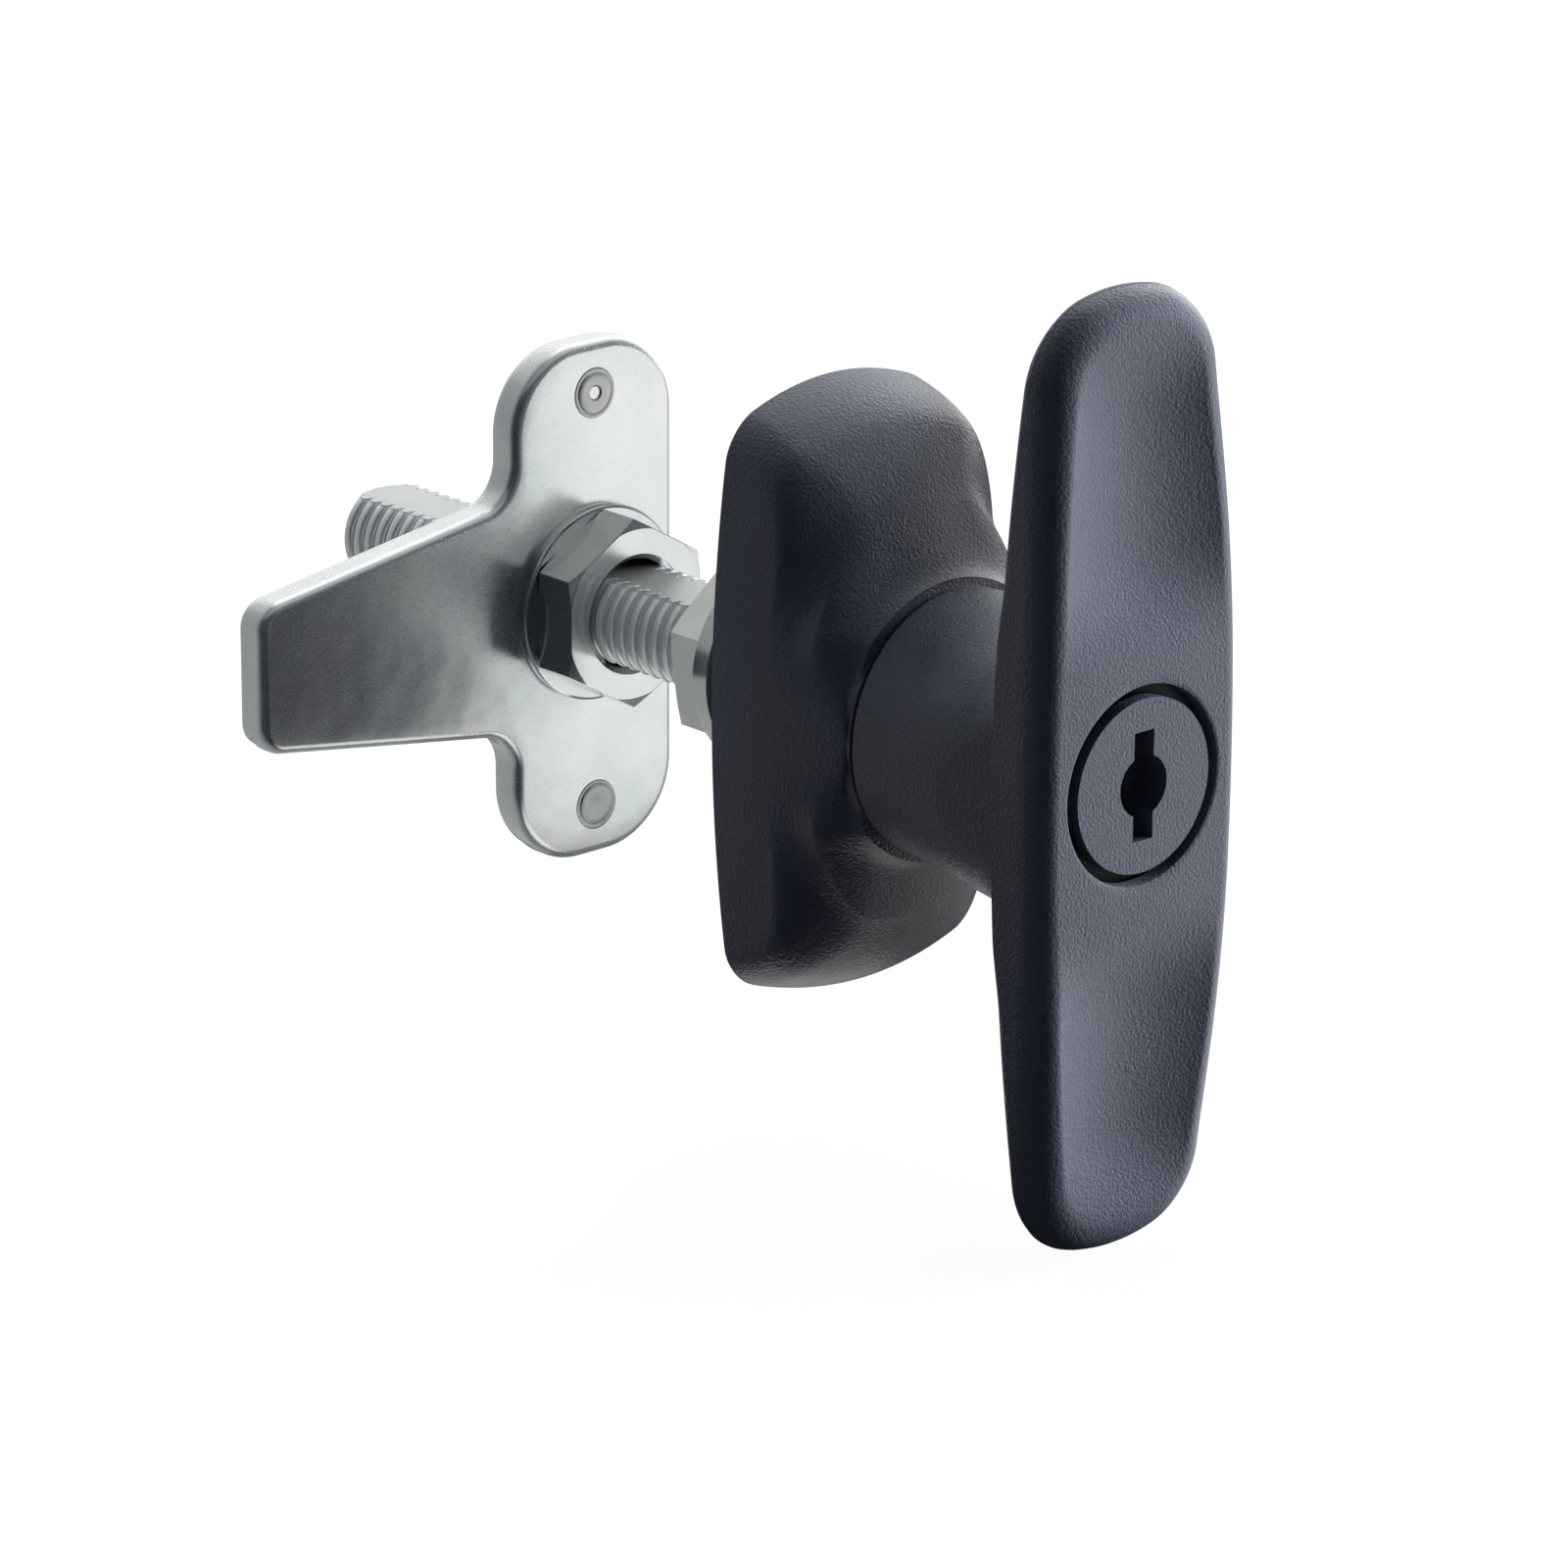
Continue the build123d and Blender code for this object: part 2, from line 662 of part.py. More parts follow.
# Key plug with its keyway, wafer slots, clip groove and eccentric drive pin
wafer_fronts = [first_wafer + i * wafer_pitch for i in range(wafer_count)]
with BuildPart() as key_plug:
    with BuildSketch(across(handle_face + plug_face_thickness)):
        Circle(plug_face_radius)
    extrude(amount=plug_face_thickness)
    with BuildSketch(across(plug_end)):
        Circle(plug_radius)
    extrude(amount=plug_end - handle_face - plug_face_thickness)
    with BuildSketch(across(handle_face + keyway_depth)):
        Rectangle(keyway_width, keyway_height)
    extrude(amount=keyway_depth, mode=Mode.SUBTRACT)
    with BuildSketch(across(handle_face + keyhole_depth)):
        Circle(keyhole_radius)
    extrude(amount=keyhole_depth, mode=Mode.SUBTRACT)
    for front in wafer_fronts:
        with BuildSketch(across(front + wafer_thickness + slide_gap)):
            Rectangle(2 * (wafer_half_width + slide_gap), 2 * plug_radius)
        extrude(amount=wafer_thickness + 2 * slide_gap, mode=Mode.SUBTRACT)
    with BuildSketch(across(clip_front + clip_thickness)):
        Circle(plug_radius)
        Circle(plug_radius - clip_grip, mode=Mode.SUBTRACT)
    extrude(amount=clip_thickness, mode=Mode.SUBTRACT)
    with BuildSketch(across(bolt_rear - face_gap)):
        with Locations((drive_offset, drive_offset)):
            Circle(drive_pin_radius)
    extrude(amount=bolt_rear - face_gap - plug_end)
key_plug.part.label = "key_plug"
export_step(key_plug.part, "parts/key_plug.step")

with BuildPart() as plug_wafers:
    for front in wafer_fronts:
        with BuildSketch(across(front + wafer_thickness)):
            Rectangle(2 * wafer_half_width, 2 * wafer_half_height)
            Rectangle(keyway_width + 2 * running, keyway_height + 2 * running, mode=Mode.SUBTRACT)
        extrude(amount=wafer_thickness)
plug_wafers.part.label = "plug_wafers"
export_step(plug_wafers.part, "parts/plug_wafers.step")

with BuildPart() as plug_clip:
    with BuildSketch(across(clip_front + clip_thickness)):
        Circle(clip_radius)
        Circle(plug_radius - clip_grip, mode=Mode.SUBTRACT)
        with Locations((clip_radius, 0)):
            Rectangle(clip_radius + 1, clip_mouth, mode=Mode.SUBTRACT)
    extrude(amount=clip_thickness)
plug_clip.part.label = "plug_clip"
export_step(plug_clip.part, "parts/plug_clip.step")

# Locking bolt: the drive pin works in its open slot and slides its nose out of the journal
with BuildPart() as lock_bolt:
    with BuildSketch(across(bolt_rear)):
        with Locations((0, (bolt_top - bolt_foot) / 2)):
            Rectangle(2 * bolt_half_width, bolt_top + bolt_foot)
        with Locations((0, -(bolt_tip + bolt_foot) / 2)):
            Rectangle(2 * bolt_nose_half, bolt_tip - bolt_foot)
        with Locations((drive_offset - drive_pin_radius - bolt_slot_slack + bolt_half_width, drive_offset)):
            Rectangle(2 * bolt_half_width, 2 * (drive_pin_radius + bolt_slot_slack), mode=Mode.SUBTRACT)
    extrude(amount=bolt_thickness)
    tip = lock_bolt.edges().filter_by(lambda e: e.center().Z < 0.1 - bolt_tip and abs(e.center().X) > 1)
    chamfer(tip, 0.4)
lock_bolt.part.label = "lock_bolt"
export_step(lock_bolt.part, "parts/lock_bolt.step")

# Stop pin, detent ball and detent spring in the rear face of the neck
with BuildPart() as stop_pin:
    with BuildSketch(across(collar_face + stop_pin_reach)):
        with PolarLocations(track_radius, 1, start_angle=stop_angle):
            Circle(stop_pin_radius)
    extrude(amount=stop_pin_reach + neck_gap + stop_pin_seat)
stop_pin.part.label = "stop_pin"
export_step(stop_pin.part, "parts/stop_pin.step")

detent_x = track_radius * math.cos(math.radians(detent_angle))
detent_z = track_radius * math.sin(math.radians(detent_angle))
with BuildPart() as detent_ball:
    with Locations((detent_x, ball_y, detent_z)):
        Sphere(ball_radius)
detent_ball.part.label = "detent_ball"
export_step(detent_ball.part, "parts/detent_ball.step")

coil_radius = ball_radius - detent_wire / 2 - running
coil_start = detent_floor + detent_wire / 2
coil_end = ball_y - ball_radius - detent_wire / 2
with BuildPart() as detent_spring:
    with BuildLine() as coil:
        Helix(
            pitch=(coil_end - coil_start) / detent_turns,
            height=coil_end - coil_start,
            radius=coil_radius,
            center=(detent_x, coil_start, detent_z),
            direction=(0, 1, 0),
        )
    with BuildSketch(Plane(origin=coil.line @ 0, z_dir=coil.line % 0)):
        Circle(detent_wire / 2)
    sweep(path=coil.line, is_frenet=True)
detent_spring.part.label = "detent_spring"
export_step(detent_spring.part, "parts/detent_spring.step")
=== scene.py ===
import math

import bpy
import bmesh
import numpy as np
from bpy.props import FloatProperty, FloatVectorProperty, PointerProperty
from bpy.types import Operator, Panel, PropertyGroup
from mathutils import Matrix, Vector


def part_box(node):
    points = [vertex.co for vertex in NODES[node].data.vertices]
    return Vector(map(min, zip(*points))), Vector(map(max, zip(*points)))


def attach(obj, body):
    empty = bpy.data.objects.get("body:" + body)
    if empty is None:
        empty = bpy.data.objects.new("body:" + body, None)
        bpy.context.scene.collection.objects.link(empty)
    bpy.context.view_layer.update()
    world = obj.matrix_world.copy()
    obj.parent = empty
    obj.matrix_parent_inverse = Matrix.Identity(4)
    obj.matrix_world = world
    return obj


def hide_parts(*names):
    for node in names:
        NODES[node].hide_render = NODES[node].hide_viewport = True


bl_info = {
    "name": "Cabinet handle lock",
    "version": (1, 0, 0),
    "blender": (4, 5, 0),
    "location": "3D View > Sidebar > Handle Lock",
    "description": "Dresses the cabinet handle lock: castings, threads, plate, finishes, studio",
    "category": "Object",
}

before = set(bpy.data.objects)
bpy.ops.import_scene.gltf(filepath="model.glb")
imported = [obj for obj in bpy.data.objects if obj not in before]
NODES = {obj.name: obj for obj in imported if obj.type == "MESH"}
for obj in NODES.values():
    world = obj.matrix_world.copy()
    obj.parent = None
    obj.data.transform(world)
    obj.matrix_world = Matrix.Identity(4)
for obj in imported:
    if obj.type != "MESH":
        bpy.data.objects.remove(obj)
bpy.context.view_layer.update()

# Every length is in metres. The spindle's axis is the Y axis, the handle is at -Y,
# +Z is up, and an angle round the spindle starts at +X and turns towards +Z.


def length(name, about, default):
    """Property for a length in metres."""
    return FloatProperty(name=name, description=about, default=default, unit="LENGTH", precision=5)


def power(name, about, default):
    """Property for a lamp's power in watts."""
    return FloatProperty(name=name, description=about, default=default, min=0, subtype="POWER")


def tint(name, about, default):
    """Property for a colour."""
    return FloatVectorProperty(
        name=name, description=about, default=default, size=3, min=0, max=1, subtype="COLOR"
    )


class HandleSizes(PropertyGroup):
    """Sizes of the T-handle's own surface"""

    face: length("Handle face", "Where the flat round the lock lies along the spindle", -0.0455)
    half_length: length("Half length", "From the axis to a tip of the bar", 0.0497)
    half_width: length("Half width", "Half the bar's width at the lock", 0.01385)
    tip_half: length("Tip half width", "Half the bar's width where its end bow starts", 0.0113)
    end_bow: length("End bow", "How far an end bows out past its corners", 0.0033)
    corner: length("Corner radius", "Radius between a side and an end", 0.0092)
    dish: length("Dish depth", "How far the tips lie behind the flat round the lock", 0.00125)
    spoon: length("Spoon depth", "How much deeper a dish is in its middle", 0.002)
    bar: length("Bar thickness", "From the handle face to the back of the bar's tips", 0.0054)
    swell: length("Bar swell", "How much thicker the bar is at the neck", 0.0017)
    front_roll: length("Front edge radius", "Radius of the edge round the front face", 0.0023)
    side_roll: length("Side roll", "How far the front edge's roll reaches down the side", 0.0033)
    rear_roll: length("Rear edge radius", "Radius of the edge round the back of the bar", 0.0009)
    bore: length("Lock bore", "Radius of the hole that takes the lock", 0.01025)
    flare: length("Neck flare", "Half height of the neck where it meets the bar", 0.0178)
    squareness: FloatProperty(
        name="Neck squareness",
        description="How square the neck's section is at the bar; 0 is round",
        default=1.0, min=0, max=6,
    )


class RosetteSizes(PropertyGroup):
    """Sizes of the rosette's own surface"""

    depth: length("Depth", "From the door to the collar's face", 0.018)
    half_width: length("Half width", "Half the width at the door", 0.0163)
    collar: length("Collar radius", "Radius of the collar that meets the neck", 0.01395)
    side_bow: length("Side bow", "How much narrower the outline is 23 mm from the axis", 0.00145)
    draft: length("Draft", "How much a side leans in from the door to the collar", 0.0022)
    end_corner: length("End corner", "Radius between a side and an end", 0.003)
    front_corner: length("Front corner", "Radius between a side and the front", 0.0075)
    hollow: length("Collar hollow", "Radius of the dome's hollow rise to the neck", 0.0042)
    fillet: length("Collar fillet", "How softly the front runs into the collar", 0.0036)
    wall: length("Wall", "Thickness of the wall at the door", 0.003)


class SpindleSizes(PropertyGroup):
    """Sizes of the threaded spindle"""

    radius: length("Crest radius", "Radius over the thread's crests", 0.0059)
    flat_half: length("Flat height", "From the axis to a flat", 0.0045)
    pitch: length("Pitch", "Length of one turn of the thread", 0.00175)
    depth: length("Thread depth", "From crest to root", 0.00085)
    chamfer: length("End chamfer", "Chamfer at the spindle's free end", 0.0014)


class NutSizes(PropertyGroup):
    """Sizes of the three hexagon nuts"""

    across_flats: length("Across flats", "Width over two flats", 0.018)
    chamfer_share: FloatProperty(
        name="Chamfer circle",
        description="Radius that the chamfer leaves flat, as a share of half the flats",
        default=1.04, min=0.8, max=1.15,
    )
    chamfer_angle: FloatProperty(
        name="Chamfer angle", description="Slope of the turned-off corners",
        default=math.radians(17), subtype="ANGLE",
    )
    mouth: length("Mouth", "Chamfer of the bore", 0.0006)


class PlateSizes(PropertyGroup):
    """Sizes of the latch plate and its rod pins"""

    lobe_half_width: length("Lobe half width", "Half the width of the two lobes", 0.011)
    lobe_half_height: length("Lobe half height", "From the axis to a lobe's end", 0.0284)
    lobe_corner: length("Lobe corner", "Radius of the lobes' corners", 0.009)
    arm_reach: length("Arm reach", "From the axis to the arm's tip", 0.0448)
    arm_root_half: length("Arm root", "Half the arm's height where it leaves the lobes", 0.013)
    arm_tip_half: length("Arm tip", "Half the arm's height at its tip", 0.0078)
    tip_corner: length("Tip corner", "Radius of the arm's tip corners", 0.0032)
    root_fillet: length("Root fillet", "Radius between the arm and a lobe", 0.0045)
    roll: length("Rolled edge", "Radius that the punch leaves round the front", 0.0011)
    rivet_radius: length("Rivet radius", "Radius of a pin's riveted end", 0.0024)


class FinishColours(PropertyGroup):
    """Colours of the finishes"""

    powder: tint("Powder coat", "Black textured powder coat", (0.052, 0.057, 0.076))
    zinc: tint("Zinc plating", "Bright zinc on nuts, washers and spindle", (0.80, 0.812, 0.795))
    zinc_shade: tint("Zinc clouds", "Cooler clouds in the plating", (0.70, 0.74, 0.755))
    steel: tint("Bare steel", "Pins, springs, clip and bolt", (0.42, 0.42, 0.41))
    casting: tint("Zinc casting", "Blackened cast barrel of the lock", (0.02, 0.021, 0.025))
    brass: tint("Brass", "Wafers of the lock", (0.70, 0.50, 0.20))
    rubber: tint("Rubber", "Seals", (0.016, 0.016, 0.017))
    nylon: tint("Nylon", "Bush of the spindle", (0.62, 0.60, 0.54))


class StudioSettings(PropertyGroup):
    """Camera, lamps, floor and background"""

    camera_place: FloatVectorProperty(
        name="Camera", description="Where the camera stands",
        subtype="TRANSLATION", default=(-0.485213, -0.528773, 0.228683), size=3, precision=5,
    )
    focal_length: FloatProperty(
        name="Focal length", description="Lens in millimetres on a 36 mm sensor",
        default=168.75, min=10, max=500,
    )
    camera_roll: FloatProperty(
        name="Camera roll", description="Turn of the camera about its own axis",
        default=math.radians(0.270), subtype="ANGLE",
    )
    key_power: power("Key lamp", "Power of the wide lamp at the right of the handle's face", 116.0)
    top_power: power("Top lamp", "Power of the wide lamp above", 4.5)
    back_power: power("Back lamp", "Power of the lamp behind the latch plate", 36.0)
    rear_power: power("Rear lamp", "Power of the lamp behind the handle's left side", 1.0)
    fill: tint("Fill light", "Cool light that the surroundings give the part", (0.03, 0.05, 0.1))
    floor_height: length("Floor height", "Just under the handle's lower tip", -0.0502)


def add_object(name, data):
    """Object at the origin that holds a mesh, a lamp or a lens."""
    made = bpy.data.objects.new(name, data)
    bpy.context.scene.collection.objects.link(made)
    return made


def put_mesh(name, points, closed_rows=False, crease=32):
    """Mesh object from a grid of points that closes round its columns. With closed_rows
    the last row also joins the first. A row that has shrunk to one point becomes a pole.
    Edges that turn by more than the crease's degrees stay sharp."""
    rows, columns = points.shape[:2]
    row = np.arange(rows if closed_rows else rows - 1)[:, None] * columns
    column = np.arange(columns)[None, :]
    after = (column + 1) % columns
    below = (row + columns) % (rows * columns)
    quads = np.stack([row + column, row + after, below + after, below + column], axis=-1)
    mesh = bpy.data.meshes.new(name)
    mesh.from_pydata(points.reshape(-1, 3).tolist(), [], quads.reshape(-1, 4).tolist())
    shell = bmesh.new()
    shell.from_mesh(mesh)
    bmesh.ops.remove_doubles(shell, verts=shell.verts, dist=2e-7)
    bmesh.ops.dissolve_degenerate(shell, edges=shell.edges, dist=1e-7)
    bmesh.ops.recalc_face_normals(shell, faces=shell.faces)
    shell.to_mesh(mesh)
    shell.free()
    mesh.shade_smooth()
    mesh.set_sharp_from_angle(angle=math.radians(crease))
    return add_object(name, mesh)


def unit(angle):
    """Directions (x, z) at angles round the spindle."""
    return np.stack([np.cos(angle), np.sin(angle)], axis=-1)


def ring(flat, y):
    """Row of a skin: points (x, z) at one station along the spindle, or each at its own."""
    return np.stack([flat[..., 0], np.broadcast_to(y, flat.shape[:-1]), flat[..., 1]], -1)


def turned_skin(centre, radii, stations, columns):
    """Grid of a turned shape: each row is a circle of one radius round an axis along Y
    through centre (x, z), at one station along that axis."""
    angle = np.linspace(0, 2 * np.pi, columns, endpoint=False)
    return ring(centre + radii[:, None, None] * unit(angle), stations[:, None])


def rounded_outline(corners, radii, arc_steps, side_steps):
    """Closed outline through corners (x, z), each replaced by an arc of its own radius. The
    arc's centre lies on the corner's bisector, radius / sin(half the corner's angle) away.
    Straight runs between the arcs are divided evenly."""
    back = np.roll(corners, 1, axis=0) - corners
    ahead = np.roll(corners, -1, axis=0) - corners
    back /= np.linalg.norm(back, axis=1)[:, None]
    ahead /= np.linalg.norm(ahead, axis=1)[:, None]
    half = np.arccos(np.clip((back * ahead).sum(1), -1, 1)) / 2
    bisector = back + ahead
    bisector /= np.linalg.norm(bisector, axis=1)[:, None]
    centre = corners + bisector * (radii / np.sin(half))[:, None]
    start = corners + back * (radii / np.tan(half))[:, None] - centre
    end = corners + ahead * (radii / np.tan(half))[:, None] - centre
    first = np.arctan2(start[:, 1], start[:, 0])
    sweep = np.arctan2(end[:, 1], end[:, 0]) - first
    sweep = (sweep + np.pi) % (2 * np.pi) - np.pi
    angle = first[:, None] + sweep[:, None] * np.linspace(0, 1, arc_steps)
    arcs = centre[:, None] + radii[:, None, None] * unit(angle)
    share = np.linspace(0, 1, side_steps + 1)[1:-1, None]
    following = np.roll(arcs[:, :1], -1, axis=0)
    sides = arcs[:, -1:] * (1 - share) + following * share
    return np.concatenate([arcs, sides], axis=1).reshape(-1, 2)


def outline_normals(outline):
    """Unit normals that point out of a closed outline which runs anticlockwise in x and z:
    the step from the point before to the point after, turned a quarter turn."""
    step = np.roll(outline, -1, axis=0) - np.roll(outline, 1, axis=0)
    normal = np.stack([step[:, 1], -step[:, 0]], axis=-1)
    return normal / np.linalg.norm(normal, axis=1)[:, None]


def hermite(x, knots, values, slopes):
    """Smooth curve through knots: cubic pieces that take each knot's value and slope."""
    knots, values, slopes = map(np.asarray, (knots, values, slopes))
    x = np.clip(x, knots[0], knots[-1])
    i = np.clip(np.searchsorted(knots, x, side="right") - 1, 0, len(knots) - 2)
    width = knots[i + 1] - knots[i]
    t = (x - knots[i]) / width
    return (
        (2 * t**3 - 3 * t**2 + 1) * values[i]
        + (t**3 - 2 * t**2 + t) * width * slopes[i]
        + (3 * t**2 - 2 * t**3) * values[i + 1]
        + (t**3 - t**2) * width * slopes[i + 1]
    )


def smooth_step(x, low, high):
    """0 below low, 1 above high, and 3t^2 - 2t^3 between."""
    t = np.clip((x - low) / (high - low), 0, 1)
    return t * t * (3 - 2 * t)


def soft_min(a, b, softness):
    """The smaller of two surfaces, rounded off where they cross: the mean less half the
    root of the squared difference plus the squared softness."""
    return (a + b - np.sqrt((a - b) ** 2 + softness**2)) / 2


# Finishes

# Range that a noise pattern mostly stays in
NOISE_LOW, NOISE_HIGH = 0.3, 0.7
# Numbers of a colour mix's two colour inputs and its colour output
MIX_FIRST, MIX_SECOND, MIX_RESULT = 6, 7, 2


def feed(made, feeds):
    """Gives a node's inputs, by name or number, a value or the output that drives them."""
    for key, value in feeds.items():
        if isinstance(value, bpy.types.NodeSocket):
            made.id_data.links.new(value, made.inputs[key])
        else:
            made.inputs[key].default_value = value


def node(tree, kind, feeds=None, **settings):
    """New shader node with its settings and what its inputs get."""
    made = tree.nodes.new("ShaderNode" + kind)
    for key, value in settings.items():
        setattr(made, key, value)
    feed(made, feeds or {})
    return made


def number(operation, *values):
    """Result of a sum on numbers."""
    feeds = dict(enumerate(values))
    return node(values[0].id_data, "Math", feeds, operation=operation).outputs[0]


def vector(operation, feeds, output="Vector"):
    """Result of a sum on vectors."""
    return node(feeds[0].id_data, "VectorMath", feeds, operation=operation).outputs[output]


def grain(places, scale, detail=2.0, roughness=0.5, stretch=None):
    """Noise on the object's own coordinates; scale is in waves per metre."""
    tree = places.id_data
    if stretch:
        places = node(tree, "Mapping", {"Vector": places, "Scale": stretch}).outputs[0]
    feeds = {"Vector": places, "Scale": scale, "Detail": detail, "Roughness": roughness}
    return node(tree, "TexNoise", feeds).outputs["Fac"]


def remap(source, to_low, to_high, low=NOISE_LOW, high=NOISE_HIGH):
    """Stretches a value from the range low to high to another range, and clips it there."""
    feeds = dict(enumerate((source, low, high, to_low, to_high)))
    return node(source.id_data, "MapRange", feeds, clamp=True).outputs["Result"]


def blend_colours(share, first, second):
    """Mixes two colours by a share."""
    feeds = {"Factor": share, MIX_FIRST: (*first, 1), MIX_SECOND: (*second, 1)}
    return node(share.id_data, "Mix", feeds, data_type="RGBA").outputs[MIX_RESULT]


def relief(height, distance, strength=1.0, below=None):
    """Bump from a height, on top of another bump if one is given."""
    feeds = {"Distance": distance, "Strength": strength, "Height": height}
    if below is not None:
        feeds["Normal"] = below
    return node(height.id_data, "Bump", feeds).outputs["Normal"]


def new_finish(name):
    """Material with a bare shader, the shader, and the object's own coordinates."""
    material = bpy.data.materials.new(name)
    material.use_nodes = True
    tree = material.node_tree
    tree.nodes.clear()
    shader = node(tree, "BsdfPrincipled")
    node(tree, "OutputMaterial", {"Surface": shader.outputs["BSDF"]})
    return material, shader, node(tree, "TexCoord").outputs["Object"]


def shade(colour, factor):
    """The same colour, lighter or darker."""
    return tuple(min(1.0, channel * factor) for channel in colour)


def mottle(pattern, colour, dark, light):
    """A colour that a noise pattern makes darker and lighter by two factors."""
    share = remap(pattern, 0, 1)
    return blend_colours(share, shade(colour, dark), shade(colour, light))


def powder_coat(colour):
    """Textured black powder coat: an orange peel about half a millimetre wide, a finer
    grain on it, and a slight change of gloss."""
    material, shader, places = new_finish("black_powder_coat")
    fine = grain(places, 6000)
    peel = relief(grain(places, 2900, 1.5, 0.45), 0.00014, 0.85)
    feed(shader, {
        "Base Color": mottle(fine, colour, 0.82, 1.2),
        "Roughness": remap(grain(places, 90, 3), 0.30, 0.38),
        "Specular IOR Level": 0.5,
        "Normal": relief(fine, 0.00004, 0.6, peel),
    })
    return material


def paint_groove_shade(places, film):
    """Painted shade: darkens a film of zinc towards the root of the spindle's thread, by the
    distance from the axis, in place of the shade in the grooves. It also dims the film evenly on
    the two flats, which lie at one height."""
    root, crest = 0.0051, 0.0056
    below_flat, flat = 0.0043, 0.0044
    across = vector("MULTIPLY", {0: places, 1: (1, 0, 1)})
    radius = vector("LENGTH", {0: across}, "Value")
    parts = node(places.id_data, "SeparateXYZ", {0: places}).outputs
    height = number("ABSOLUTE", parts["Z"])
    # Painted shade: darker towards the thread's root
    groove_shade = remap(radius, 0.3, 1.0, root, crest)
    on_flat = remap(height, 0, 1, below_flat, flat)
    dimming = remap(height, 1, 0.6, below_flat, flat)
    light = number("MULTIPLY", number("MAXIMUM", groove_shade, on_flat), dimming)
    return vector("SCALE", {0: film, "Scale": light})


def plated_zinc(
    name, bright, cloud, gloss, wave, metal=1.0, pits=0.000002, brushed=None, thread=False
):
    """Bright zinc on steel, its two colours made lighter or darker by factors: cool clouds
    in the plating, uneven gloss, tiny pits, which brushing stretches, and the soft waviness
    of the steel. On a thread, shade is painted into the grooves: they are darker towards the root."""
    material, shader, places = new_finish(name)
    clouds = remap(grain(places, 120, 4, 0.55), 0, 1, 0.34, 0.66)
    specks = grain(places, 4200, stretch=brushed)
    colours = bpy.context.scene.lock_colours
    film = blend_colours(clouds, shade(colours.zinc_shade, cloud), shade(colours.zinc, bright))
    swell = relief(grain(places, 210, 1), wave, 0.5)
    feed(shader, {
        # Painted shade in a thread's grooves
        "Base Color": paint_groove_shade(places, film) if thread else film,
        "Metallic": metal,
        "Roughness": remap(specks, gloss - 0.01, gloss + 0.02),
        "Normal": relief(specks, pits, 0.5, swell),
    })
    return material


def uncoated(name, colour, gloss, pits, metal=True):
    """Bare metal with streaks of handling, or moulded rubber or nylon with a faint flow
    pattern; both with small pits and uneven gloss."""
    material, shader, places = new_finish(name)
    if metal:
        streaks = grain(places, 700, 4, 0.6, (1, 0.25, 1))
        dark, light, glossier = 0.8, 1.12, 0.05
        bumps = relief(grain(places, 2400, 3), pits, 0.5)
    else:
        streaks = grain(places, 260, 3, 0.5, (1, 0.4, 1))
        dark, light, glossier = 0.85, 1.15, 0.06
        bumps = relief(grain(places, 3200), pits, 0.6)
    feed(shader, {
        "Base Color": mottle(streaks, colour, dark, light),
        "Metallic": float(metal),
        "Roughness": remap(streaks, gloss - glossier, gloss + 0.08),
        "Normal": bumps,
    })
    return material


def finish(name):
    """The finish of a slot of the record, or of the thread or the rivets, made once."""
    ready = bpy.data.materials.get("finish_" + name)
    if ready:
        return ready
    colours = bpy.context.scene.lock_colours
    makers = {
        "black_powder_coat": lambda: powder_coat(colours.powder),
        "zinc_plated_steel": lambda: plated_zinc(name, 1, 1, 0.17, 0.00012),
        "zinc_plated_plate": lambda: plated_zinc(
            name, 1.05, 1.06, 0.26, 0.00016, 0.95, pits=0.0000035, brushed=(0.4, 1, 1.2)
        ),
        # The spindle's thread: zinc with painted shade in its grooves
        "zinc_thread_painted_shade": lambda: plated_zinc(name, 1.1, 1.12, 0.36, 0.00005, 0.85, thread=True),
        "zinc_rivet": lambda: plated_zinc(name, 0.72, 0.7, 0.36, 0.0001),
        "bare_steel": lambda: uncoated(name, colours.steel, 0.32, 0.00002),
        "zinc_casting": lambda: uncoated(name, colours.casting, 0.42, 0.00003),
        "brass": lambda: uncoated(name, colours.brass, 0.3, 0.00002),
        "black_rubber": lambda: uncoated(name, colours.rubber, 0.6, 0.00003, False),
        "nylon": lambda: uncoated(name, colours.nylon, 0.42, 0.00001, False),
    }
    material = makers[name]()
    material.name = "finish_" + name
    return material


def add_piece(name, skin, slot_name, body, stands_for=None, look=None, **joined):
    """New piece with its skin, the finish of its slot name or of its look, its body, and the node
    it stands for hidden.
    """
    piece = put_mesh(name, skin, **joined)
    piece.data.materials.append(finish(look or slot_name))
    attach(piece, body)
    if stands_for:
        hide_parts(stands_for)


# Skins

# Radii of the handle's journal, of the rosette's bore round it, of the handle's socket for
# the spindle and of the boss that goes through the door
JOURNAL, JOURNAL_BORE, SOCKET, DOOR_BOSS = 0.009, 0.00905, 0.00595, 0.01
# Gaps in front of the collar, behind the plug's clip and round the thread
NECK_GAP, CLIP_ROOM, THREAD_GAP = 0.0005, 0.0012, 0.00005
# Half widths of the neck where it meets the bar and at its round end, and of a rib
NECK_ROOT, NECK, RIB_HALF = 0.0143, 0.014, 0.0012
# Keeps a division from meeting zero
TINY = 1e-9


def to_flat(half, angle):
    """Distance from the axis, at an angle, to flats above and below it at half height."""
    return half / np.maximum(np.abs(np.sin(angle)), 1e-6)


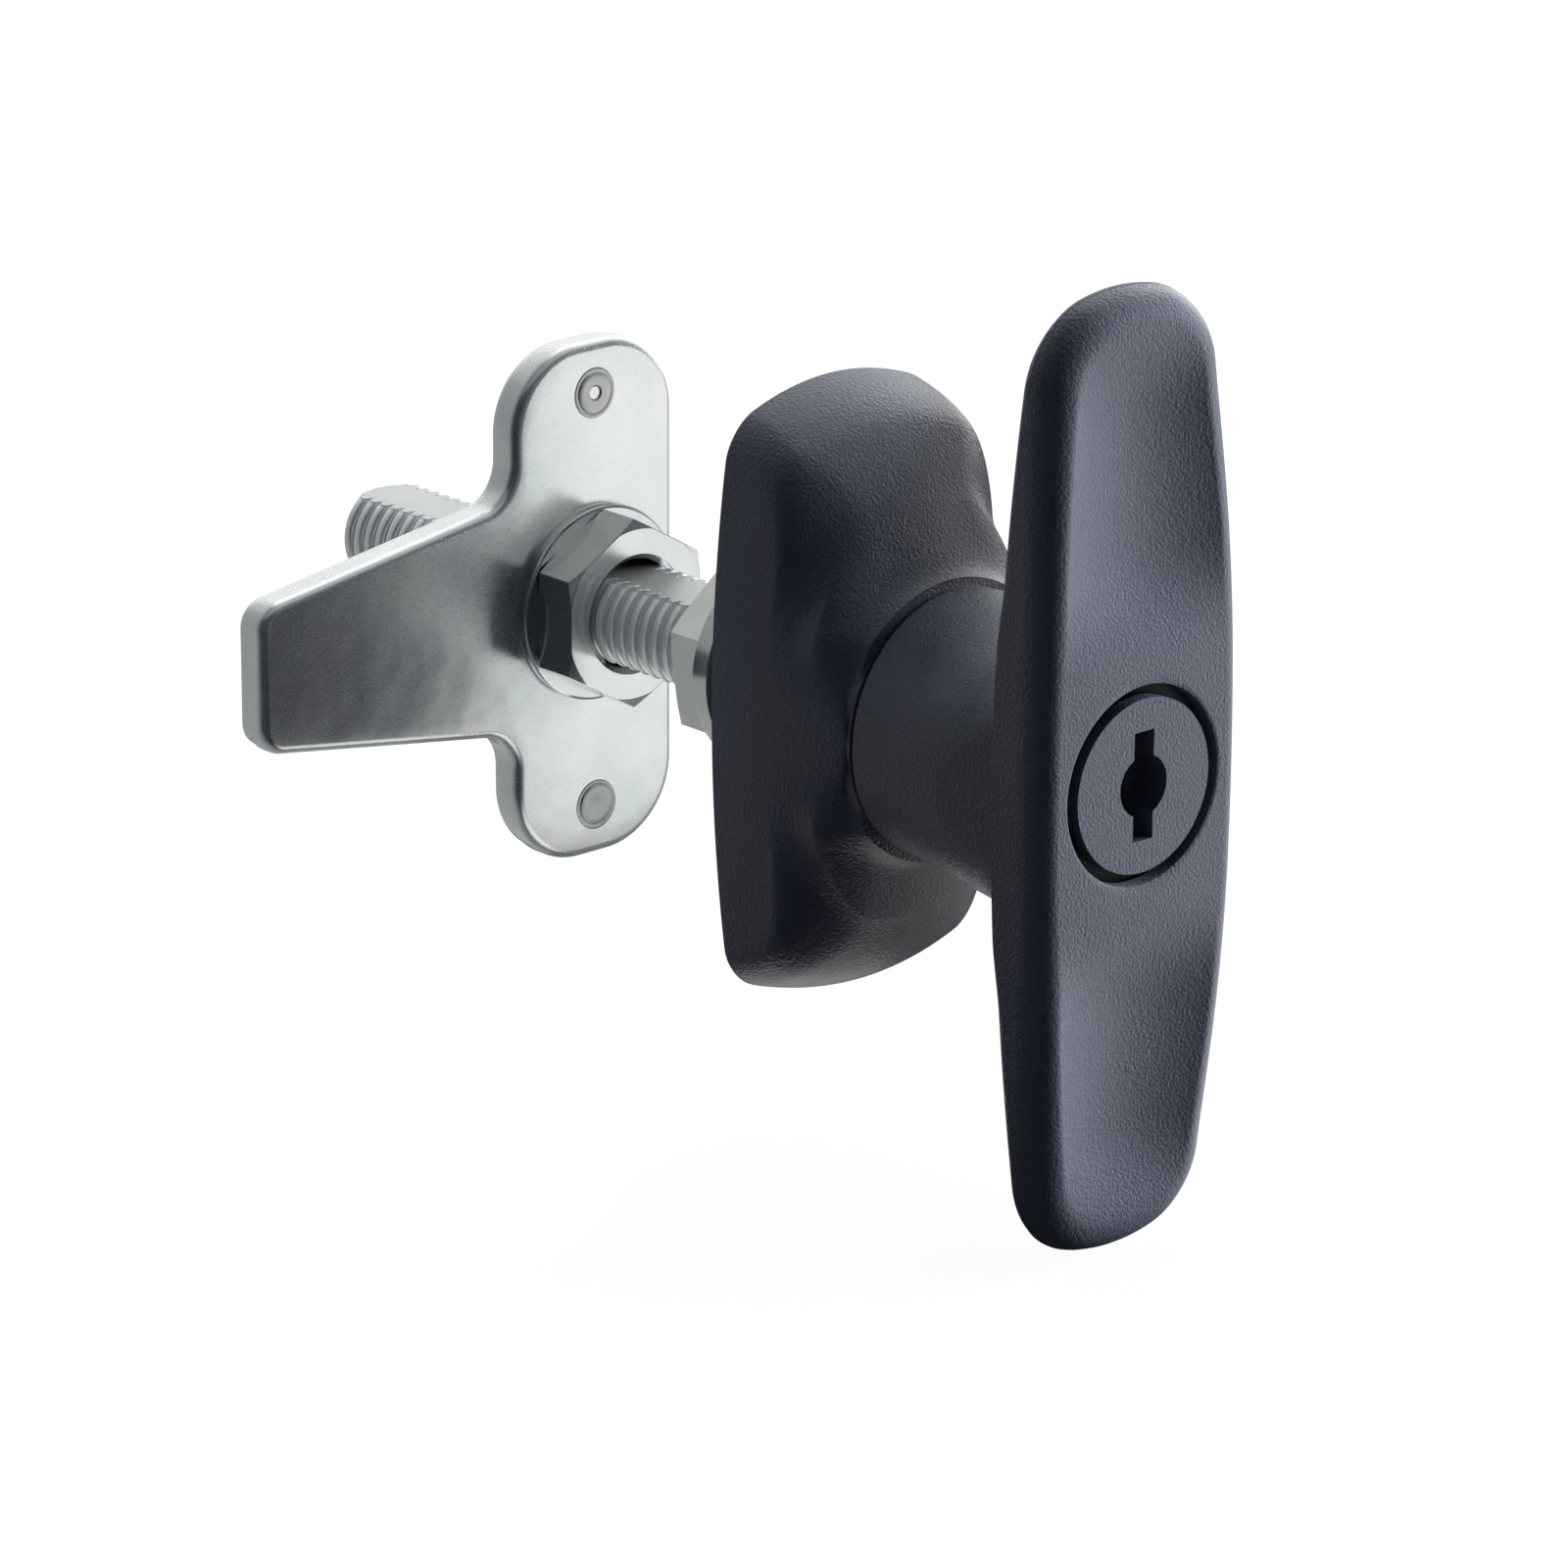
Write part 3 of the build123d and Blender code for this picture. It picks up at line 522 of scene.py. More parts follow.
def thread_skin(sizes, front, thread_start, rear):
    """Spindle skin. A row is one turn: the crest radius less the thread's depth times
    (2p - 1)^4, where p runs on by one pitch a turn, so crests are wide and roots narrow. It
    is cut down to the flats above and below, and to the end chamfer."""
    columns, rows_a_turn = 144, 13
    angle = np.linspace(0, 2 * np.pi, columns, endpoint=False)
    count = int((rear - thread_start) / sizes.pitch * rows_a_turn)
    threaded = np.linspace(thread_start, rear, count)
    plain = np.linspace(front, thread_start, 8)
    y = np.concatenate([[front], plain, threaded, [rear]])
    phase = (y[:, None] / sizes.pitch - angle / (2 * np.pi)) % 1
    ridge = 1 - (2 * phase - 1) ** 4
    fade = smooth_step(y, thread_start, thread_start + 0.4 * sizes.pitch)[:, None]
    radius = sizes.radius - sizes.depth * (1 - ridge) * fade
    flat = np.where(y[:, None] > thread_start, to_flat(sizes.flat_half, angle), 1.0)
    radius = np.minimum(radius, flat)
    radius = np.minimum(radius, (sizes.radius - sizes.chamfer + rear - y)[:, None])
    radius[[0, -1]] = 0
    return ring(radius[..., None] * unit(angle), y[:, None])


def nut_skin(sizes, front, rear, bore, turn, collar_radius=0.0, collar_depth=0.0):
    """Nut skin, closed from bore to bore. The outside's radius at an angle is half the
    flats over the cosine of the angle from the nearest flat. The turned-off corners rise
    from the chamfer circle at the chamfer's slope until they meet that hexagon."""
    side = 20
    land, lift = 0.0001, 0.00004
    angle = np.linspace(0, 2 * np.pi, 6 * side, endpoint=False) + turn
    from_flat = (angle - turn) % (np.pi / 3) - np.pi / 6
    half = sizes.across_flats / 2
    hexagon = half / np.cos(from_flat)
    circle = np.minimum(half * sizes.chamfer_share, hexagon)
    slope = math.tan(sizes.chamfer_angle)
    hex_rear = rear - collar_depth
    corners = [circle + (hexagon - circle) * share for share in np.linspace(0, 1, 7)]
    # Rows of (radius, station)
    rows = [(bore, front + sizes.mouth), (bore + sizes.mouth, front), (circle - land, front)]
    rows += [(radius, front + lift + (radius - circle) * slope) for radius in corners]
    rows += [(radius, hex_rear - lift - (radius - circle) * slope) for radius in corners[::-1]]
    if collar_depth:
        rows += [
            (np.minimum(circle, collar_radius - 0.0004), hex_rear),
            (collar_radius - 0.0003, hex_rear),
            (collar_radius - 0.00008, hex_rear + 0.00009),
            (collar_radius, hex_rear + 0.0003),
            (collar_radius, rear - 0.0002),
            (collar_radius - 0.0002, rear),
        ]
    else:
        rows.append((circle - land, hex_rear))
    rows += [(bore + sizes.mouth, rear), (bore, rear - sizes.mouth)]
    radii = np.stack([np.broadcast_to(radius, angle.shape) for radius, _ in rows])
    y = np.stack([np.broadcast_to(at, angle.shape) for _, at in rows])
    return ring(radii[..., None] * unit(angle), y)


def plate_skin(sizes, front, rear, bore, flat_half):
    """Latch plate skin, a ring closed from the spindle's hole to the hole. The edge is a
    profile of (inset, station) carried round the outline: the rolled front edge, the
    smooth sheared band, the line where the sheet broke and the rough band behind it."""
    w, h = sizes.lobe_half_width, sizes.lobe_half_height
    reach, root, tip = sizes.arm_reach, sizes.arm_root_half, sizes.arm_tip_half
    corners = np.array([
        (w, -h), (w, h), (-w, h), (-w, root), (-reach, tip), (-reach, -tip), (-w, -root), (-w, -h),
    ])
    c, f, t = sizes.lobe_corner, sizes.root_fillet, sizes.tip_corner
    outline = rounded_outline(corners, np.array([c, c, c, f, t, t, f, c]), 25, 22)
    normal = outline_normals(outline)
    angle = np.arctan2(outline[:, 1], outline[:, 0])
    hole = np.minimum(bore, to_flat(flat_half, angle))[:, None] * unit(angle)
    turn = np.linspace(0, np.pi / 2, 9)
    inset = list(sizes.roll * (1 - np.sin(turn))) + [0, 0.00022, 0.0003, 0.00024, 0.0003, 0.00055]
    station = list(front + sizes.roll * (1 - np.cos(turn))) + [
        front + 0.0024, front + 0.00246, front + 0.0026, rear - 0.0004, rear - 0.00012, rear,
    ]
    edge = outline[None] - np.array(inset)[:, None, None] * normal[None]
    share = np.linspace(0, 1, 10)[:-1, None, None]
    front_face = hole[None] * (1 - share) + edge[:1] * share
    rear_face = edge[-1:] * (1 - share) + hole[None] * share
    flat = np.concatenate([front_face, edge, rear_face[1:], hole[None]])
    y = np.concatenate([np.full(len(share), front), station, np.full(len(share), rear)])
    return ring(flat, y[:, None])


def pin_skin(sizes, centre_z, front, plate_rear, rear, dimple):
    """Rod pin skin: a turned profile, from the riveted head that stands a hair proud of
    the plate, through the plate, to the pin with its clip groove and chamfered end."""
    pin, cut = 0.003, 0.00035
    r, slim = sizes.rivet_radius, pin - cut
    shoulder, end = plate_rear - front, rear - front
    groove = end - 0.001
    radii, depths = np.array([
        (0, dimple - 0.00012), (0.0004, dimple - 0.00012), (0.0009, -0.00016),
        (r - 0.0008, -0.00018), (r - 0.00045, -0.00017), (r - 0.00025, -0.00012),
        (r - 0.00018, -0.00001), (r - 0.0001, -0.00001), (r, -0.00005),
        (r + 0.00015, -0.00006), (r + 0.0003, -0.00003), (r + 0.0004, 0.00003),
        (r + 0.0004, 0.0002), (r, 0.0003), (r, shoulder), (pin - 0.0002, shoulder),
        (pin, shoulder + 0.0002), (pin, groove - 0.0008), (slim, groove - 0.0008),
        (slim, groove), (pin, groove), (pin, end - cut), (slim, end), (0, end),
    ]).T
    return turned_skin((0, centre_z), radii, front + depths, 64)


def arc(centre, radius, start, end, steps):
    """Points (x, z) along an arc: centre plus radius times cosine and sine."""
    return centre + radius * unit(np.linspace(start, end, steps))


def handle_outline(sizes):
    """Outline (x, z) of the bar seen from the front. A quarter is three arcs that touch: the
    bowed side, the corner and the bowed end. A bow's radius comes from half its chord and
    its height, (c^2 + s^2) / 2s, and the corner's centre is where the circles round the
    other two centres cross, each one corner radius smaller. The quarter is mirrored."""
    sagitta = sizes.half_width - sizes.tip_half
    chord = sizes.half_length - sizes.end_bow
    side_radius = (chord**2 + sagitta**2) / (2 * sagitta)
    end_radius = (sizes.tip_half**2 + sizes.end_bow**2) / (2 * sizes.end_bow)
    side_centre = np.array([sizes.half_width - side_radius, 0.0])
    end_centre = np.array([0.0, sizes.half_length - end_radius])
    first, second = side_radius - sizes.corner, end_radius - sizes.corner
    apart = end_centre - side_centre
    distance = np.linalg.norm(apart)
    along = (first**2 - second**2 + distance**2) / (2 * distance)
    aside = math.sqrt(first**2 - along**2)
    apart /= distance
    corner = side_centre + along * apart + aside * np.array([-apart[1], apart[0]])
    start = math.atan2(*(corner - side_centre)[::-1])
    end = math.atan2(*(corner - end_centre)[::-1])
    quarter = np.concatenate([
        arc(side_centre, side_radius, 0, start, 60)[:-1],
        arc(corner, sizes.corner, start, end, 34)[:-1],
        arc(end_centre, end_radius, end, math.pi / 2, 16),
    ])
    half = np.concatenate([quarter, (quarter * (-1, 1))[-2::-1]])
    return np.concatenate([half, (half * (1, -1))[-2:0:-1]])


def handle_front(sizes, x, z):
    """Station of the front face: flat round the lock, then two dishes that reach the tips,
    each hollowed like a spoon across its width and along its length."""
    height = np.abs(z)
    dish_start, past_tip, bow_start, rolls = 0.0105, 0.004, 0.0464, 1.15
    # Heights between which the spoon deepens, and between which it rises again
    deepens, rises = (0.0125, 0.0245), (0.0365, 0.0475)
    dish = sizes.dish * smooth_step(height, dish_start, sizes.half_length + past_tip)
    hollow = smooth_step(height, *deepens) * (1 - smooth_step(height, *rises))
    narrowing = (sizes.half_width - sizes.tip_half) * (height / bow_start) ** 2
    rim = sizes.half_width - narrowing - rolls * sizes.front_roll
    across = np.clip(1 - (x / rim) ** 2, 0, 1)
    return sizes.face + dish + sizes.spoon * hollow * across


def handle_skin(sizes, neck_end, journal_end, socket_end, chamber):
    """T-handle skin in rows that close round the spindle. They start on the axis at the
    floor of the lock's bore, run out over the front face, round the edge in a quarter
    ellipse that is deepest along the side, back along the side, in over the bar's back and
    down the neck, which flares like a trumpet at its root, and end on the axis in the
    spindle's socket. A section of the neck is |x/a|^n + |z/b|^n = 1, cut by the bar's
    sides: a circle at the rosette, and taller at the bar."""
    outline = handle_outline(sizes)
    normal = outline_normals(outline)
    reach = np.linalg.norm(outline, axis=1)
    ray = outline / reach[:, None]
    rows = []

    def turned(*circles):
        for radius, y in circles:
            rows.append(ring(ray * radius, y))

    def back_of(flat):
        along = flat[:, 1] / (sizes.half_length + 0.001)
        return sizes.face + sizes.bar + sizes.swell * (1 - along**2)

    bore, face = sizes.bore, sizes.face
    turned(
        (0.0, chamber), (bore - 0.00002, chamber), (bore, face + 0.00035),
        (bore + 0.00008, face + 0.00012),
    )
    rim = ray * (bore + 0.0003)
    tip = (outline[:, 1] / sizes.half_length) ** 2
    roll = sizes.front_roll * (1 + 0.6 * tip)
    side_roll = sizes.side_roll * (1 + 0.15 * tip)
    inner = outline - normal * roll[:, None]
    front = handle_front(sizes, inner[:, 0], inner[:, 1])
    for share in np.linspace(0, 1, 30)[:-1]:
        flat = rim * (1 - share) + inner * share
        rows.append(ring(flat, handle_front(sizes, flat[:, 0], flat[:, 1])))
    for turn in np.linspace(0, math.pi / 2, 11):
        flat = outline - normal * (roll * (1 - math.sin(turn)))[:, None]
        rows.append(ring(flat, front + side_roll * (1 - math.cos(turn))))
    back = back_of(outline)
    rear_roll = sizes.rear_roll * smooth_step(np.abs(outline[:, 1]), 0.014, 0.023)
    for share in np.linspace(0, 1, 10)[1:]:
        rows.append(ring(outline, (front + side_roll) * (1 - share) + (back - rear_roll) * share))
    for turn in np.linspace(0, math.pi / 2, 7)[1:]:
        flat = outline - normal * (rear_roll * (1 - math.cos(turn)))[:, None]
        rows.append(ring(flat, back - rear_roll * (1 - math.sin(turn))))

    inset = outline - normal * rear_roll[:, None]
    edge = np.linalg.norm(inset, axis=1)

    def section(half_height, square, share):
        power = 2 + square
        half = NECK_ROOT * (1 - share) + NECK * share
        oval = np.abs(ray[:, 0] / half) ** power + np.abs(ray[:, 1] / half_height) ** power
        limit = edge + (reach + 0.0008 - edge) * share
        return soft_min(oval ** (-1 / power), limit, 0.00015 * (1 - share))

    lip = ray * np.minimum(edge, section(sizes.flare, sizes.squareness, 0))[:, None]
    for share in np.linspace(0, 1, 14)[1:]:
        flat = inset * (1 - share) + lip * share
        rows.append(ring(flat, back_of(flat)))
    # Half height of the neck, and how far along the neck it is reached
    t = np.linspace(0, 1, 26)
    trumpet = np.stack([
        hermite(t, (0, 1), (sizes.flare, NECK_ROOT), (-0.006, -0.0004)),
        hermite(t, (0, 1), (0, 0.16), (0, 0.22)),
    ], -1)
    cone = trumpet[-1] + ((NECK, 1) - trumpet[-1]) * np.linspace(0, 1, 30)[1:, None]
    for half_height, share in np.concatenate([trumpet, cone])[1:]:
        square = sizes.squareness * (1 - smooth_step(share, 0.05, 0.8))
        flat = ray * section(half_height, square, share)[:, None]
        rows.append(ring(flat, back_of(lip) * (1 - share) + neck_end * share))
    turned(
        (NECK - 0.0002, neck_end), (JOURNAL, neck_end), (JOURNAL, journal_end),
        (SOCKET, journal_end), (SOCKET, socket_end), (0.0, socket_end),
    )
    return np.stack(rows)


# Middle line of the rosette's end and front, as (height, depth) in metres
ROSETTE_LINE = np.array([
    (0.0327, 0), (0.0319, 0.003), (0.0307, 0.0058), (0.0289, 0.0084), (0.0264, 0.0103),
    (0.0234, 0.0117), (0.0205, 0.0126), (0.017, 0.0134), (0.012, 0.0147), (0.008, 0.0162),
    (0.004, 0.0174), (0, 0.0178),
])


def rosette_field(sizes, x, depth, z):
    """How far a point lies outside the rosette, below zero inside. Two limits, the leaning
    side and the line of the end and front, meet in a corner. The line's limit is the
    distance from the origin less the line's own at that slope, times the cosine of the
    angle at which the line is crossed. The corner is an ellipse, narrow beside the neck
    and round towards the ends; a point lies r (r - 1) / |gradient| outside it, where r is
    1 on the ellipse. The collar, joined on with a fillet, spreads above and below in a
    hollow quarter circle and then straight on, cut by the leaning side."""
    # How strongly an end bows in towards the sides, the share of its lean that a side has
    # lost at one height, and the height at which the side's bow is measured
    end_bow, lean_loss, lean_height, bow_height = 18, 0.55, 0.03, 0.0233
    high = np.abs(z)
    height = high + end_bow * x**2
    lean = sizes.draft * depth / sizes.depth * (1 - lean_loss * (high / lean_height) ** 2)
    side = np.abs(x) - (sizes.half_width - sizes.side_bow * (z / bow_height) ** 2 - lean)
    slope = np.arctan2(depth, height)
    knots = np.arctan2(ROSETTE_LINE[:, 1], ROSETTE_LINE[:, 0])
    radii = np.linalg.norm(ROSETTE_LINE, axis=1)
    slopes = np.gradient(radii, knots)

    def line(at):
        return hermite(at, knots, radii, slopes)

    step = 0.01
    change = (line(slope + step) - line(slope - step)) / (2 * step)
    end = (np.hypot(height, depth) - line(slope)) / np.sqrt(1 + (change / line(slope)) ** 2)
    upper = smooth_step(slope, 0.2, 0.5)
    slim = 0.0005
    narrow = slim + (sizes.front_corner - slim) * smooth_step(high, 0.001, 0.020)
    across = sizes.end_corner + (narrow - sizes.end_corner) * upper
    along = sizes.end_corner + (sizes.front_corner - sizes.end_corner) * upper
    over_side = np.maximum(side / across + 1, 0)
    over_end = np.maximum(end / along + 1, 0)
    reach = np.hypot(over_side, over_end) + TINY
    corner = (reach - 1) * reach / (np.hypot(over_side / across, over_end / along) + TINY)
    centre, well_inside = 0.001, -0.003
    corner = np.where(reach < centre, well_inside, corner)
    # The spread's full depth, where it goes over into a straight slope, and that slope
    radius = np.hypot(x, z)
    lowest, bend, straight = 0.005, 0.9 * sizes.hollow, 2.06
    below = np.clip(sizes.depth - depth, 0, lowest)
    spread = sizes.hollow - np.sqrt(sizes.hollow**2 - np.minimum(below, bend) ** 2)
    spread = (spread + straight * np.maximum(below - bend, 0)) * (z / (radius + TINY)) ** 2
    side_softness = 0.0014
    collar = -soft_min(-(radius - sizes.collar - spread), -side, side_softness)
    softness = smooth_step(depth, 0.008, 0.0145) * smooth_step(high, 0.004, 0.011)
    return soft_min(corner, collar, sizes.fillet * softness)


def rosette_skin(sizes, boss_end, bush, bush_front):
    """Rosette skin. The outside is found on rays from the middle of the door face, where
    the step between inside and outside is halved 40 times. The skin then closes over the
    seal groove, the hollow behind, the hub, the rear boss and the journal's bore."""
    columns, rises = 288, 96
    ray = unit(np.linspace(0, 2 * np.pi, columns, endpoint=False))
    step = 0.0003
    limit = math.atan2(sizes.depth - step, sizes.collar)
    rise = np.linspace(limit, 0, rises)[:, None]
    low = np.full((rises, columns), 0.004)
    high = np.full((rises, columns), 0.05)
    for _ in range(40):
        middle = (low + high) / 2
        x, z = np.moveaxis((middle * np.cos(rise))[..., None] * ray, -1, 0)
        outside = rosette_field(sizes, x, middle * np.sin(rise), z) > 0
        high = np.where(outside, middle, high)
        low = np.where(outside, low, middle)
    flat = (low * np.cos(rise))[..., None] * ray
    dome = ring(flat, np.maximum(-low * np.sin(rise), step - sizes.depth))
    rim = flat[-1]
    normal = outline_normals(rim)
    groove, floor, wall = -0.0012, -0.0086, sizes.wall
    collar = [
        (JOURNAL_BORE, -sizes.depth), (sizes.collar - 0.00025, -sizes.depth),
        (sizes.collar - 0.00007, -sizes.depth + 0.00008),
    ]
    inside = [
        (0.00075, 0), (0.00075, groove), (0.00225, groove), (0.00225, 0), (wall, 0),
        (wall + 0.0006, -0.005), (wall + 0.0014, -0.0078), (wall + 0.003, floor),
    ]
    hub = [
        (0.0113, floor), (0.0113, -0.0002), (0.0111, 0), (DOOR_BOSS, 0),
        (DOOR_BOSS, boss_end - 0.0004), (DOOR_BOSS - 0.0004, boss_end), (bush, boss_end),
        (bush, bush_front), (JOURNAL_BORE, bush_front),
    ]
    return np.concatenate([
        [ring(ray * radius, y) for radius, y in collar],
        dome,
        [ring(rim - normal * inset, y) for inset, y in inside],
        [ring(ray * radius, y) for radius, y in hub],
    ])


def rib_skin(start, end, half_width, front, rear):
    """Rib: a straight bar with a rounded outline between two points (x, z), carried from
    its front station to its rear one, with a small edge radius."""
    along = end - start
    along = along / np.linalg.norm(along)
    aside = np.array([-along[1], along[0]]) * half_width
    corners = np.array([start - aside, end - aside, end + aside, start + aside])
    outline = rounded_outline(corners, np.full(4, half_width * 0.5), 6, 6)
    centre = np.broadcast_to(outline.mean(0), outline.shape)
    normal = outline_normals(outline)
    edge = 0.0002
    walls = [ring(outline - normal * inset, station) for inset, station in (
        (edge, front), (0.0, front), (0.0, rear - edge), (edge * 0.3, rear - edge * 0.3),
        (edge, rear),
    )]
    return np.stack([ring(centre, front), *walls, ring(centre, rear)])


class LOCK_OT_handle(Operator):
    """T-handle with dished face, flat sides and flared neck"""

    bl_idname = "lock.handle"
    bl_label = "T-handle"

    def execute(self, context):
        neck_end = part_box("rosette")[0].y - NECK_GAP
        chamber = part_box("plug_clip")[1].y + CLIP_ROOM
        journal_end, socket_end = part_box("t_handle")[1].y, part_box("spindle")[0].y
        skin = handle_skin(context.scene.lock_handle, neck_end, journal_end, socket_end, chamber)
        add_piece("cast_t_handle", skin, "black_powder_coat", "handle_body", "t_handle")
        return {"FINISHED"}


class LOCK_OT_rosette(Operator):
    """Rosette with its hub, ribs and screw bosses"""

    bl_idname = "lock.rosette"
    bl_label = "Rosette"

    def execute(self, context):
        sizes = context.scene.lock_rosette
        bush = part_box("spindle_bush")
        boss_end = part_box("rosette")[1].y
        skin = rosette_skin(sizes, boss_end, bush[1].x, bush[0].y)
        add_piece(
            "cast_rosette", skin, "black_powder_coat", "rosette_body", "rosette", closed_rows=True
        )
        floor = -0.0087
        for name, start, end in (
            ("rib_right", (0.011, 0), (0.0132, 0)),
            ("rib_left", (-0.0132, 0), (-0.011, 0)),
            ("rib_top", (0, 0.011), (0, 0.0188)),
            ("rib_bottom", (0, -0.0188), (0, -0.011)),
            ("rib_top_end", (0, 0.0252), (0, 0.0272)),
            ("rib_bottom_end", (0, -0.0272), (0, -0.0252)),
        ):
            skin = rib_skin(np.array(start), np.array(end), RIB_HALF, floor + 0.0007, -0.00005)
            add_piece(name, skin, "black_powder_coat", "rosette_body")
        radii, stations = np.array([
            (0, floor), (0.0044, floor), (0.0044, -0.0002), (0.0042, 0), (0.0024, 0),
            (0.0021, -0.0003), (0.0021, -0.0085), (0, -0.0085),
        ]).T
        for name, height in (("screw_boss_top", 0.022), ("screw_boss_bottom", -0.022)):
            skin = turned_skin((0, height), radii, stations, 48)
            add_piece(name, skin, "black_powder_coat", "rosette_body")
        return {"FINISHED"}


class LOCK_OT_spindle(Operator):
    """Threaded spindle with its two flats"""

    bl_idname = "lock.spindle"
    bl_label = "Threaded spindle"

    def execute(self, context):
        low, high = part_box("spindle")
        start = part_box("flat_washer")[0].y
        skin = thread_skin(context.scene.lock_spindle, low.y, start, high.y)
        # Its finish paints shade into the thread's grooves
        add_piece(
            "threaded_spindle", skin, "zinc_plated_steel", "handle_body", "spindle", "zinc_thread_painted_shade"
        )
        return {"FINISHED"}


class LOCK_OT_nuts(Operator):
    """The three hexagon nuts of the spindle"""

    bl_idname = "lock.nuts"
    bl_label = "Hexagon nuts"

    def execute(self, context):
        sizes = context.scene.lock_nuts
        bore = context.scene.lock_spindle.radius + THREAD_GAP
        for name, turn, collar, depth in (
            ("spindle_nut", 38, 0.0, 0.0),
            ("collar_nut", 30, 0.0106, 0.0012),
            ("rear_lock_nut", 12, 0.0, 0.0),
        ):
            low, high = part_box(name)
            skin = nut_skin(sizes, low.y, high.y, bore, math.radians(turn), collar, depth)
            add_piece(
                "turned_" + name, skin, "zinc_plated_steel", "handle_body", name,
                closed_rows=True, crease=20,
            )
        return {"FINISHED"}


class LOCK_OT_plate(Operator):
    """Pressed latch plate with its two riveted rod pins"""

    bl_idname = "lock.plate"
    bl_label = "Latch plate and rod pins"

    def execute(self, context):
        sizes = context.scene.lock_plate
        spindle = context.scene.lock_spindle
        low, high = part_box("latch_plate")
        skin = plate_skin(
            sizes, low.y, high.y, spindle.radius + THREAD_GAP, spindle.flat_half + THREAD_GAP
        )
        add_piece(
            "pressed_latch_plate", skin, "zinc_plated_plate", "handle_body", "latch_plate",
            closed_rows=True,
        )
        for name, dimple in (("upper_rod_pin", 0.0003), ("lower_rod_pin", 0.0)):
            pin_low, pin_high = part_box(name)
            centre = (pin_low.z + pin_high.z) / 2
            skin = pin_skin(sizes, centre, low.y, high.y, pin_high.y, dimple)
            add_piece(
                "riveted_" + name, skin, "zinc_plated_plate", "handle_body", name, "zinc_rivet"
            )
        return {"FINISHED"}


class LOCK_OT_finishes(Operator):
    """Finishes of the CAD nodes that stay"""

    bl_idname = "lock.finishes"
    bl_label = "Finishes of the plain pieces"

    def execute(self, context):
        for piece in NODES.values():
            for holder in piece.material_slots:
                holder.material = finish(holder.material.name)
        return {"FINISHED"}


# Tones that the studio cards show to a reflection, as (bearing in degrees from -Y towards
# +X, tone)
TABLE_TONES = (
    (-180, 0.5), (-160, 0.36), (-125, 0.3), (-105, 0.16), (-85, 0.02), (0, 0.02),
    (12, 0.18), (32, 1.0), (80, 0.9), (100, 0.2), (180, 0.2),
)
WALL_TONES = (
    (-180, 0.8), (-160, 0.36), (-125, 0.26), (-105, 0.16), (-85, 0.02), (-5, 0.03),
    (55, 0.14), (80, 0.7), (95, 1.4), (104, 3.0), (116, 3.0), (126, 0.95), (180, 0.9),
)
CEILING_TONES = (
    (-180, 0.55), (-130, 0.4), (-80, 0.15), (0, 0.3), (60, 0.5), (95, 1.2), (130, 1.4),
    (160, 0.8), (180, 0.55),
)


def seen(tree):
    """1 for what the camera, a reflection or glass looks at, 0 for the light that falls."""
    rays = node(tree, "LightPath").outputs
    first = number("MAXIMUM", rays["Is Camera Ray"], rays["Is Glossy Ray"])
    return number("MAXIMUM", first, rays["Is Transmission Ray"])


def hide(piece, *rays):
    """Makes a stage object invisible to some kinds of ray."""
    for ray in rays:
        setattr(piece, "visible_" + ray, False)


def sheet(name, points, columns):
    """Stage object from a grid of points with so many columns."""
    mesh = bpy.data.meshes.new(name)
    corner = np.arange(len(points) - columns).reshape(-1, columns)[:, :-1].reshape(-1)
    quads = np.stack([corner, corner + columns, corner + columns + 1, corner + 1], -1)
    mesh.from_pydata(points.tolist(), [], quads.tolist())
    return add_object(name, mesh)


def add_camera(settings):
    """Camera that looks at the part as the photo does, rolled a little about its axis."""
    back = Vector((-0.636591, -0.702999, 0.317090))
    right = Vector((0.741250, -0.671230, 0.0))
    up = Vector((0.212840, 0.235043, 0.948397))
    c, s = math.cos(settings.camera_roll), math.sin(settings.camera_roll)
    turned = Matrix((right * c + up * s, up * c - right * s, back)).transposed().to_4x4()
    lens = bpy.data.cameras.new("camera")
    lens.lens = settings.focal_length
    lens.sensor_width = 36
    lens.clip_start = 0.01
    lens.clip_end = 50
    camera = add_object("camera", lens)
    camera.matrix_world = Matrix.Translation(Vector(settings.camera_place)) @ turned
    return camera


def add_lamp(name, place, size, watts, aim=(0, 0, 0), spread=math.pi):
    """Square lamp that faces a place on the part, and that reflections don't show."""
    light = bpy.data.lights.new(name, "AREA")
    light.energy = watts
    light.size = size
    light.spread = spread
    lamp = add_object(name, light)
    lamp.location = place
    lamp.rotation_mode = "QUATERNION"
    lamp.rotation_quaternion = (Vector(place) - Vector(aim)).to_track_quat("Z", "Y")
    hide(lamp, "glossy")


